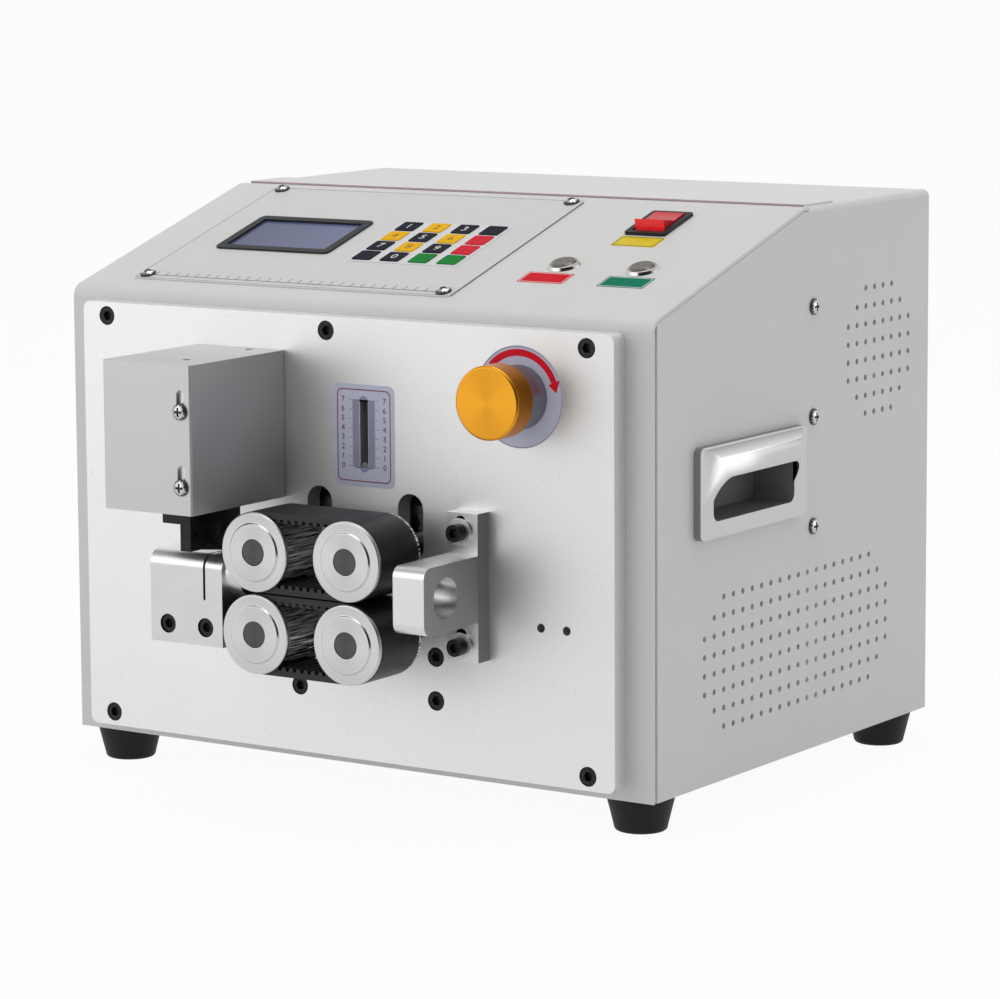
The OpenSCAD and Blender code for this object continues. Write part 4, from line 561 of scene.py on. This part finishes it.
def rounded(w, h, r, middle=0.0):
    """Outline of a rectangle with round corners, whose middle is at a height."""
    out = []
    for k, (sx, sy) in enumerate(((1, 1), (-1, 1), (-1, -1), (1, -1))):
        for angle in range(0, 91, 15):
            x, y = polar(r, 90 * k + angle)
            out.append((sx * (w / 2 - r) + x, middle + sy * (h / 2 - r) + y))
    return out


def stadium(w, bottom, top):
    """Outline of an upright slot with round ends."""
    r = w / 2
    arc = [polar(r, angle) for angle in range(0, 181, 18)]
    return [(x, top - r + y) for x, y in arc] + [(-x, bottom + r - y) for x, y in arc]


def circle(r):
    """Outline of a circle with 64 sides."""
    return [polar(r, 360 * i / 64) for i in range(64)]


def bar(x0, y0, x1, y1, w):
    """Outline of a straight printed line."""
    d = Vector((x1 - x0, y1 - y0))
    n = Vector((-d.y, d.x)).normalized() * w / 2
    return [(x0 + n.x, y0 + n.y), (x0 - n.x, y0 - n.y), (x1 - n.x, y1 - n.y), (x1 + n.x, y1 + n.y)]


def printed_digit(name, text, size, matrix, height, material, slot):
    """A plain number as a thin print."""
    curve = bpy.data.curves.new(name, "FONT")
    curve.body = text
    curve.size = size * MM
    curve.align_x = "CENTER"
    curve.align_y = "CENTER"
    curve.resolution_u = 3
    return extruded(name, curve, matrix, height, material, slot)


def merge(name, pieces):
    """Joins thin prints of one colour to one piece."""
    deselect()
    for piece in pieces:
        piece.select_set(True)
    bpy.context.view_layer.objects.active = pieces[0]
    bpy.ops.object.join()
    obj = bpy.context.view_layer.objects.active
    obj.name = obj.data.name = name
    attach(obj, "machine")


# Finishes of the solids

PLAIN = {
    "front_panel": "powder",
    "chassis": "powder",
    "cover": "powder",
    "blade_rail": "steel",
    "slide_block": "steel",
    "guard_bracket": "milled",
    "cutter_pinion": "steel",
    "lift_shaft": "steel",
    "upper_bearings": "plated",
    "lower_bearings": "plated",
    "guide_posts": "steel",
    "upper_carriage": "milled_dark",
    "lower_block": "milled_dark",
    "lower_coupling": "milled",
    "upper_coupling": "milled",
    "cutter_motor": "enamel",
    "lower_motor": "enamel",
    "upper_motor": "enamel",
    "power_supply": "zinc",
    "controller_board": "board",
    "scale_pointer": "steel",
    "display_glass": "screen",
    "lower_belt": "belt",
    "upper_belt": "belt",
}
for name, finish in PLAIN.items():
    mesh = nodes[name].data
    mesh.materials.clear()
    mesh.materials.append(FINISHES[finish])

# Edge radius in millimetres of each softened solid
SOFT = {
    "front_plate": ("blasted", 0.9),
    "outlet_block": ("milled", 0.4),
    "inlet_guide": ("guide", 0.6),
    "cutter_guard": ("satin", 0.35),
    "handle_right": ("chrome", 0.8),
    "handle_left": ("chrome", 0.8),
    "feet": ("foot", 0.6),
    "power_inlet": ("bezel", 0.4),
    "control_overlay": ("overlay", 0.15),
    "display_bezel": ("bezel", 0.35),
    "switch_frame": ("bezel", 0.5),
    "power_rocker": ("red", 0.5),
    "button_rims": ("plated", 0.4),
    "stop_button": ("plated", 0.6),
    "start_button": ("plated", 0.6),
    "socket_screws": ("black", 0.35),
    "guide_fasteners": ("black", 0.3),
    "pan_screws": ("plated", 0.15),
    "blade_holder": ("black", 0.3),
    "blade": ("blade", 0.05),
    "knob_collar": ("collar", 0.3),
    "lift_knob": ("gold", 0.35),
}
done = {name: soften(name, finish, width) for name, (finish, width) in SOFT.items()}

# Handles: the recessed cup, and how far the frame stands out of the cabinet's side
CUP_FRONT = 55.6
CUP_BACK = 147.6
CUP_BOTTOM = 147.6
CUP_TOP = 186.0
CUP_OUT = 3.0
FRAME_OUT = 4.2
# Front and back of the washers under the inlet guide's screws
WASHER_FRONT = -24.83
WASHER_BACK = -23.0
# A pan head keeps its bright plating above this height where it faces outwards by this share; its other
# faces are painted dark as shade and dark reflection
DOME_HEIGHT = 1.55
DOME_SHARE = 0.8
# Bright step in a front flange: its two radii, the depth where it ends and the share that faces forwards
STEP_IN = 14.2
STEP_OUT = 17.4
STEP_FACE = -74.9
STEP_SHARE = 0.96


def in_cup(p, n):
    """Inside the handle's recessed cup, painted dark grey as the shade in the recess."""
    level = CUP_BOTTOM < p.z < CUP_TOP
    return abs(p.x) < SIDE_FACE + CUP_OUT and CUP_FRONT < p.y < CUP_BACK and level


def on_frame_edge(p, n):
    """The thin edge all round the handle's frame, painted a darker grey as the shade along the frame's
    edge.
    """
    thin = SIDE_FACE - 0.1 < abs(p.x) < SIDE_FACE + FRAME_OUT
    return thin and abs(n.x) < 0.3 and not in_cup(p, n)


def dull_on_screw(p, n):
    """Rim, edge and cross recess of a pan head, where the plating is painted dark: painted shade in the
    recess and a painted dark reflection on the rim and edge.
    """
    if abs(p.x) > SIDE_FACE - 0.5:
        share, height = abs(n.x), abs(p.x) - SIDE_FACE
    elif p.y < GUARD_FACE + 0.5:
        share, height = -n.y, GUARD_FACE - p.y
    else:
        share, height = n.dot(RISE), (p - Vector((0, 0, FRONT_H))).dot(RISE) - OVERLAY_T
    return share < DOME_SHARE or height < DOME_HEIGHT


def on_step(p, n, axis):
    """The bright step of the front flange that turns about an axis, given as a point in metres."""
    reach = math.hypot(p.x - axis.x / MM, p.z + FOOT_H - axis.z / MM)
    return abs(n.y) < STEP_SHARE and STEP_IN < reach < STEP_OUT and p.y < STEP_FACE


def divided_guide():
    """Inlet guide with its flank cut where its foot plate begins; its right-facing faces are painted darker
    as shade and dark reflection, and the foot plate's right edge darker still.
    """
    guide = done["inlet_guide"]
    activate(guide)
    bpy.ops.object.mode_set(mode="EDIT")
    bpy.ops.mesh.select_all(action="SELECT")
    bpy.ops.mesh.bisect(plane_co=at(0, GUIDE_FOOT_Y, 0), plane_no=(0, 1, 0))
    bpy.ops.object.mode_set(mode="OBJECT")
    repaint(guide, "guide_flank_shade", lambda p, n: n.x > 0.7)
    repaint(guide, "guide_foot_shade", lambda p, n: n.x > 0.7 and p.y > GUIDE_FOOT_Y)


def pressed_springs():
    """Springs over the carriage as a smoothed copy with a mesh of its own; on the machine they shorten
    towards their fixed upper ends as the carriage rises.
    """
    obj = merged_copy("press_springs")
    smooth(obj, 32)
    stand_in(obj, "press_springs", "steel")
    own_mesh(obj)


for name in ("handle_right", "handle_left"):
    # The cups and the frames' thin edges are painted dark grey as shade
    repaint(done[name], "cup", in_cup)
    repaint(done[name], "frame_edge_shade", on_frame_edge)
divided_guide()
repaint(done["guide_fasteners"], "washer", lambda p, n: WASHER_FRONT < p.y < WASHER_BACK)
# The knob's round side is painted darker gold as shade and dark reflection
repaint(done["lift_knob"], "gold_side_shade", lambda p, n: abs(n.y) < 0.3)
# The rocker's front face glows faintly as painted light
repaint(done["power_rocker"], "red_front_glow", lambda p, n: n.y < -0.6)
# The overlay's right-facing wall is painted dark grey as shade along its edge
repaint(done["control_overlay"], "ruler", lambda p, n: n.x > 0.9)
# Pan heads' rims, edges and cross recesses are painted dark as shade and dark reflection
repaint(done["pan_screws"], "screw_painted_dark", dull_on_screw)

for name in ("stop_button", "start_button"):
    low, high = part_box(name)
    done[name].data.materials[0] = turned(
        "stainless_" + name, (low + high) / 2, "958F89", "837D77", 0.25, axis=RISE, streak=0.8
    )

flange_box = {
    "lower_left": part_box("flange_lower_left"),
    "lower_right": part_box("flange_lower_right"),
    "upper_left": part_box("flange_upper_left"),
    "upper_right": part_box("flange_upper_right"),
}
for which, (low, high) in flange_box.items():
    axis = (low + high) / 2
    face = turned("turned_flange_" + which, axis, "E2E2E2", "D2D2D2", 0.32)
    end = turned("turned_shaft_end_" + which, axis, "626264", "505052", 0.34)
    flange = soften("flange_" + which, face, 0.3)
    repaint(flange, "plated", lambda p, n: on_step(p, n, axis))
    soften("core_" + which, "fluted", 0.12, 1)
    soften("shaft_" + which, end, 0.4)

pressed_springs()

# Keypad

# Places on the slope are counted from the overlay's left edge and its edge at the slope's foot
OVERLAY_LEFT = 32.0 - SIDE_FACE
OVERLAY_FOOT = 17.0
OVERLAY_W = 225.0
OVERLAY_L = 150.0
OVERLAY_X = OVERLAY_LEFT + OVERLAY_W / 2
OVERLAY_S = OVERLAY_FOOT + OVERLAY_L / 2
KEYS_X = OVERLAY_LEFT + 164.6
KEYS_S = OVERLAY_FOOT + 73.3
KEY_PITCH_X = 19.8
KEY_PITCH_S = 15.3
KEY_TOP = 0.9
# Height above the overlay from which a face belongs to a raised key
KEY_FACE = 0.34
KEY_DIGIT = 8.5
KEY_INK = 0.03


def keypad():
    """Membrane with coloured keys: each face takes the film of the key that it belongs to."""
    obj = soften("keypad", "key_gap", 0.2)
    finishes = ["key_gap", "key_navy", "key_yellow", "key_red", "key_green"]
    for name in finishes[1:]:
        obj.data.materials.append(FINISHES[name])
    colors = [[1, 2, 1, 1], [2, 1, 2, 3], [1, 2, 1, 3], [1, 1, 4, 4]]
    frame_in = slope_matrix(KEYS_X, KEYS_S, OVERLAY_T).inverted()
    for face in obj.data.polygons:
        p = frame_in @ face.center / MM
        if p.z > KEY_FACE:
            col = min(3, max(0, int((p.x + 2 * KEY_PITCH_X) // KEY_PITCH_X)))
            row = min(3, max(0, int((2 * KEY_PITCH_S - p.y) // KEY_PITCH_S)))
            face.material_index = colors[row][col]
    digits = ["1", "2", "3", "", "4", "5", "6", "", "7", "8", "9", "", "", "0", "", ""]
    white, amber = [], []
    for i, digit in enumerate(digits):
        if not digit:
            continue
        row, col = divmod(i, 4)
        x = KEYS_X + (col - 1.5) * KEY_PITCH_X
        s = KEYS_S + (1.5 - row) * KEY_PITCH_S
        dark_key = colors[row][col] == 1
        on = slope_matrix(x, s, OVERLAY_T + KEY_TOP)
        ink = "legend_white" if dark_key else "legend_yellow"
        piece = printed_digit("key_digit_" + digit, digit, KEY_DIGIT, on, KEY_INK, ink, "keys")
        (white if dark_key else amber).append(piece)
    merge("key_digits_white", white)
    merge("key_digits_amber", amber)


keypad()

# Printed marks

# The overlay's border line and its ruler
BORDER_X = 111.6
BORDER_S = 73.6
BORDER_W = 0.4
RULER_S = -69.5
RULER_HALF = 101.0
RULER_TICKS = 28
RULER_PITCH = 7.4
RULER_TICK_L = 5.4
# Scale midway between the rollers: the pointer's height at rest, and from there the label's middle,
# the pointer's slot and the ticks
SCALE_X = (-13.3 + 49.2) / 2
SCALE_Z = 171.2
SCALE_MIDDLE = 20.5
SLOT_W = 6.2
SLOT_BOTTOM = -0.4
SLOT_TOP = 43.0
SCALE_FROM = 3.0
SCALE_STEP = 5.37
SCALE_TICKS = 8
SCALE_DIGIT = 4.6
SCALE_DIGIT_OUT = 14.2
# Tape on the front of the cover's hem
CABINET_TOP = 314.0
SEAM_Y = 171.0
SEAM_HALF = 196.0
TAPE_T = 0.1


def overlay_print():
    """Fine border lines of the overlay with its ruler along the lower edge."""
    on = slope_matrix(OVERLAY_X, OVERLAY_S, OVERLAY_T)
    side = BORDER_S - BORDER_W / 2
    end = BORDER_X - BORDER_W
    for name, line in (
        ("overlay_line_left", bar(-BORDER_X, -side, -BORDER_X, side, BORDER_W)),
        ("overlay_line_top", bar(-end, BORDER_S, end, BORDER_S, BORDER_W)),
        ("overlay_line_bottom", bar(-end, -BORDER_S, end, -BORDER_S, BORDER_W)),
    ):
        flat_shape(name, [line], on, PRINT, "ruler", "overlay")
    ticks = [bar(-RULER_HALF, RULER_S, RULER_HALF, RULER_S, 0.9)]
    for i in range(RULER_TICKS):
        x = (i - (RULER_TICKS - 1) / 2) * RULER_PITCH
        ticks.append(bar(x, RULER_S, x, RULER_S + RULER_TICK_L, 0.6))
    marks = [flat_shape("ruler_tick", [t], on, PRINT, "ruler", "overlay") for t in ticks]
    merge("ruler_ticks", marks)


def scale_label():
    """Sticker round the pointer's slot: lavender film, maroon line, ticks and the numbers 0 to 7."""
    on = plate_matrix(SCALE_X, SCALE_Z)
    raised = plate_matrix(SCALE_X, SCALE_Z, FILM_T)
    slot_hole = stadium(SLOT_W, SLOT_BOTTOM, SLOT_TOP)
    label = [rounded(42, 58, 4, SCALE_MIDDLE), slot_hole]
    border = [rounded(36.6, 52.4, 3.4, SCALE_MIDDLE), rounded(35.4, 51.2, 2.9, SCALE_MIDDLE)]
    band = [rounded(14.5, 38.5, 0.4, 21.6), slot_hole]
    flat_shape("scale_film", label, on, FILM_T, "lavender", "plate")
    flat_shape("scale_border", border, raised, PRINT, "maroon", "plate")
    flat_shape("scale_band", band, raised, PRINT, "lavender_dark", "plate")
    marks, numbers = [], []
    for side in (-1, 1):
        for i in range(SCALE_TICKS):
            y = SCALE_FROM + SCALE_STEP * i
            marks.append(bar(side * 7.6, y, side * 10.4, y, 0.35))
        marks.append(bar(side * 7.5, 2.8, side * 7.5, 40.8, 0.3))
    ticks = [flat_shape("scale_tick", [m], raised, PRINT, "lavender_dark", "plate") for m in marks]
    merge("scale_ticks", ticks)
    for side in (-1, 1):
        for i in range(SCALE_TICKS):
            z = SCALE_Z + SCALE_FROM + SCALE_STEP * i
            beside = plate_matrix(SCALE_X + side * SCALE_DIGIT_OUT, z, FILM_T)
            digit = printed_digit("scale_number", str(i), SCALE_DIGIT, beside, PRINT, "ink", "plate")
            numbers.append(digit)
    merge("scale_numbers", numbers)


def knob_label():
    """Round film behind the collar with a red arrow that turns clockwise; angles in degrees."""
    on = plate_matrix(KNOB_X, KNOB_Z)
    raised = plate_matrix(KNOB_X, KNOB_Z, FILM_T)
    flat_shape("knob_film", [circle(28.4), circle(18.2)], on, FILM_T, "lavender", "plate")
    inside, outside, barb = 22.6, 26.4, 4.0
    middle = (inside + outside) / 2
    start, stop, tip = 138, 22, 8
    outer = [polar(outside, a) for a in range(start, stop, -3)]
    inner = [polar(inside, a) for a in range(start, stop, -3)]
    head = [
        polar(outside, stop),
        polar(middle + barb, stop),
        polar(middle, tip),
        polar(middle - barb, stop),
        polar(inside, stop),
    ]
    flat_shape("knob_arrow", [outer + head + inner[::-1]], raised, PRINT, "arrow_red", "plate")
    flat_shape("knob_rim_line", [circle(28.1), circle(27.6)], raised, PRINT, "lavender_dark", "plate")


def panel_labels():
    """Bare coloured films with a fine inner line below the two buttons and the switch."""
    for name, x, s, w, l, finish, line in (
        ("stop_film", 99.5, 52.5, 30, 15, "label_red", "legend_white"),
        ("start_film", 152, 52.5, 30, 15, "label_green", "legend_white"),
        ("switch_film", 125.5, 110.8, 29, 14.5, "label_yellow", "ink"),
    ):
        flat_shape(name, [rounded(w, l, 0.8)], slope_matrix(x, s), FILM_T, finish, "overlay")
        loops = [rounded(w - 1.6, l - 1.6, 0.5), rounded(w - 2.6, l - 2.6, 0.4)]
        flat_shape(name + "_line", loops, slope_matrix(x, s, FILM_T), PRINT, line, "overlay")


def seam_trim():
    """Rose tape on the front of the cover's hem, with a dark strip below it that is a painted shadow in the
    joint with the sloped panel.
    """
    on = Matrix.Translation(at(0, SEAM_Y, CABINET_TOP)) @ Matrix.Rotation(math.pi / 2, 4, "X")
    tape = bar(-SEAM_HALF, 0.85, SEAM_HALF, 0.85, 0.7)
    joint = bar(-SEAM_HALF, 0.3, SEAM_HALF, 0.3, 0.4)
    flat_shape("seam_tape", [tape], on, TAPE_T, "seam_tape", slot_of["cover"])
    # The dark strip below the tape is a painted shadow in the joint
    flat_shape("seam_joint", [joint], on, TAPE_T, "seam_shade", slot_of["cover"])


seam_trim()
overlay_print()
scale_label()
knob_label()
panel_labels()

# Studio

# The photograph's size in pixels, and a sensor's width in millimetres
IMAGE_W = 1000
IMAGE_H = 999
SENSOR_W = 36.0
# Light of the sky on matt surfaces, the ceiling's grey in mirrors, and how white the floor looks
# to the camera and in mirrors
SKY_LIGHT = 0.47
CEILING = 0.42
CEILING_FROM = 0.26
CEILING_TO = 0.66
FLOOR_WHITE = 0.95
FLOOR_MIRRORED = 0.74
FLOOR_R = 40.0
CARD_AZIMUTH = 35.5
CARD_W = 1.6
CARD_H = 1.0
CARD_PLACE = (0.74, -0.41, 0.5)


def camera():
    """The photograph's camera, solved from the cabinet's corners; angles in radians, focal in pixels."""
    yaw, pitch, roll = 0.616, 0.1368, -0.0105
    focal, center_x, center_y = 4141.0, 369.18, 438.98
    ahead = Vector((-math.sin(yaw) * math.cos(pitch), math.cos(yaw) * math.cos(pitch), -math.sin(pitch)))
    right = Vector((math.cos(yaw), math.sin(yaw), 0))
    up = right.cross(ahead)
    c, s = math.cos(roll), math.sin(roll)
    x_axis = c * right + s * up
    y_axis = -s * right + c * up
    turn = Matrix((x_axis, y_axis, -ahead)).transposed().to_4x4()
    data = bpy.data.cameras.new("camera")
    data.sensor_width = SENSOR_W
    data.lens = focal * SENSOR_W / IMAGE_W
    data.shift_x = (IMAGE_W / 2 - center_x) / IMAGE_W
    data.shift_y = -(IMAGE_H / 2 - center_y) / IMAGE_W
    data.clip_end = 50
    obj = bpy.data.objects.new("camera", data)
    obj.matrix_world = Matrix.Translation(at(1350.55, -1889.55, 506.80)) @ turn
    scene.collection.objects.link(obj)
    scene.camera = obj


def lamp(name, place, target, size, watts):
    """White area lamp that faces a target."""
    data = bpy.data.lights.new(name, "AREA")
    data.shape = "RECTANGLE"
    data.size, data.size_y = size
    data.energy = watts
    obj = bpy.data.objects.new(name, data)
    obj.location = place
    obj.rotation_euler = (Vector(target) - Vector(place)).to_track_quat("-Z", "Y").to_euler()
    scene.collection.objects.link(obj)


def seen_by(owner, *rays):
    """1 where a ray of one of these kinds meets the backdrop, and 0 for every other ray."""
    kinds = [add(owner, "ShaderNodeLightPath", out=ray) for ray in rays]
    seen = kinds[0]
    for other in kinds[1:]:
        seen = add(owner, "ShaderNodeMath", {0: seen, 1: other}, operation="MAXIMUM")
    return seen


def floor():
    """Pale matt floor: nearly white to the camera, with the machine's shadow left in it."""
    mat, base = surface("pale_floor", "F0F0F0", 0.9, Specular_IOR_Level=0.1)
    direct = seen_by(mat, "Is Camera Ray")
    glow = add(mat, "ShaderNodeMapRange", {"Value": direct, "To Min": FLOOR_MIRRORED, "To Max": 1.0})
    white = add(mat, "ShaderNodeEmission", {"Color": (1, 1, 1, 1), "Strength": glow})
    seen = seen_by(mat, "Is Camera Ray", "Is Glossy Ray", "Is Transmission Ray")
    part = add(mat, "ShaderNodeMapRange", {"Value": seen, "To Min": 0.0, "To Max": FLOOR_WHITE})
    mixed = add(mat, "ShaderNodeMixShader", {0: part, 1: base.outputs[0], 2: white})
    mat.node_tree.links.new(mixed, mat.node_tree.nodes["Material Output"].inputs["Surface"])
    bpy.ops.mesh.primitive_circle_add(vertices=96, radius=FLOOR_R, fill_type="NGON")
    obj = bpy.context.view_layer.objects.active
    obj.name = "floor"
    obj.data.materials.append(mat)


def dark_card():
    """Upright dark card to the right of the lens, seen only in the metal, as such machines are lit."""
    mat, _ = surface("dark_card", "141414", 1.0)
    bpy.ops.mesh.primitive_plane_add(size=1.0)
    obj = bpy.context.view_layer.objects.active
    obj.name = "dark_card"
    turn = Matrix.Rotation(math.radians(CARD_AZIMUTH), 4, "Z") @ Matrix.Rotation(math.pi / 2, 4, "X")
    size = Matrix.Diagonal((CARD_W, CARD_H, 1.0, 1.0))
    settle(obj, Matrix.Translation(CARD_PLACE) @ turn @ size)
    obj.data.materials.append(mat)
    obj.visible_camera = obj.visible_diffuse = obj.visible_shadow = False
    obj.visible_transmission = obj.visible_volume_scatter = False


def white_world():
    """White to the camera, a plain light on matt surfaces, and in mirrors darker towards the ceiling."""
    world = bpy.data.worlds.new("studio")
    scene.world = world
    world.use_nodes = True
    background = world.node_tree.nodes["Background"]
    background.inputs["Color"].default_value = (1, 1, 1, 1)
    direction = add(world, "ShaderNodeTexCoord", out="Generated")
    height = add(world, "ShaderNodeSeparateXYZ", {"Vector": direction}, out="Z")
    rise = {"Value": height, "From Min": CEILING_FROM, "From Max": CEILING_TO}
    ceiling = add(world, "ShaderNodeMapRange", {**rise, "To Min": 1.0, "To Max": CEILING})
    mirrored = seen_by(world, "Is Glossy Ray", "Is Transmission Ray")
    lit = add(world, "ShaderNodeMapRange", {"Value": mirrored, "To Min": SKY_LIGHT, "To Max": ceiling})
    direct = seen_by(world, "Is Camera Ray")
    level = add(world, "ShaderNodeMapRange", {"Value": direct, "To Min": lit, "To Max": 1.0})
    world.node_tree.links.new(level, background.inputs["Strength"])


camera()
white_world()
floor()
dark_card()
lamp("key_left", place=(-1.15, -1.75, 1.0), target=(-0.1, 0, 0.2), size=(1.8, 1.8), watts=8.2)
lamp("right", place=(2.0, 1.3, 0.5), target=(0.2, 0.1, 0.12), size=(1.5, 1.4), watts=4.4)
lamp("top", place=(0.1, 0.1, 2.4), target=(0, 0, 0.2), size=(2.0, 2.0), watts=21)
scene.view_settings.view_transform = "Standard"
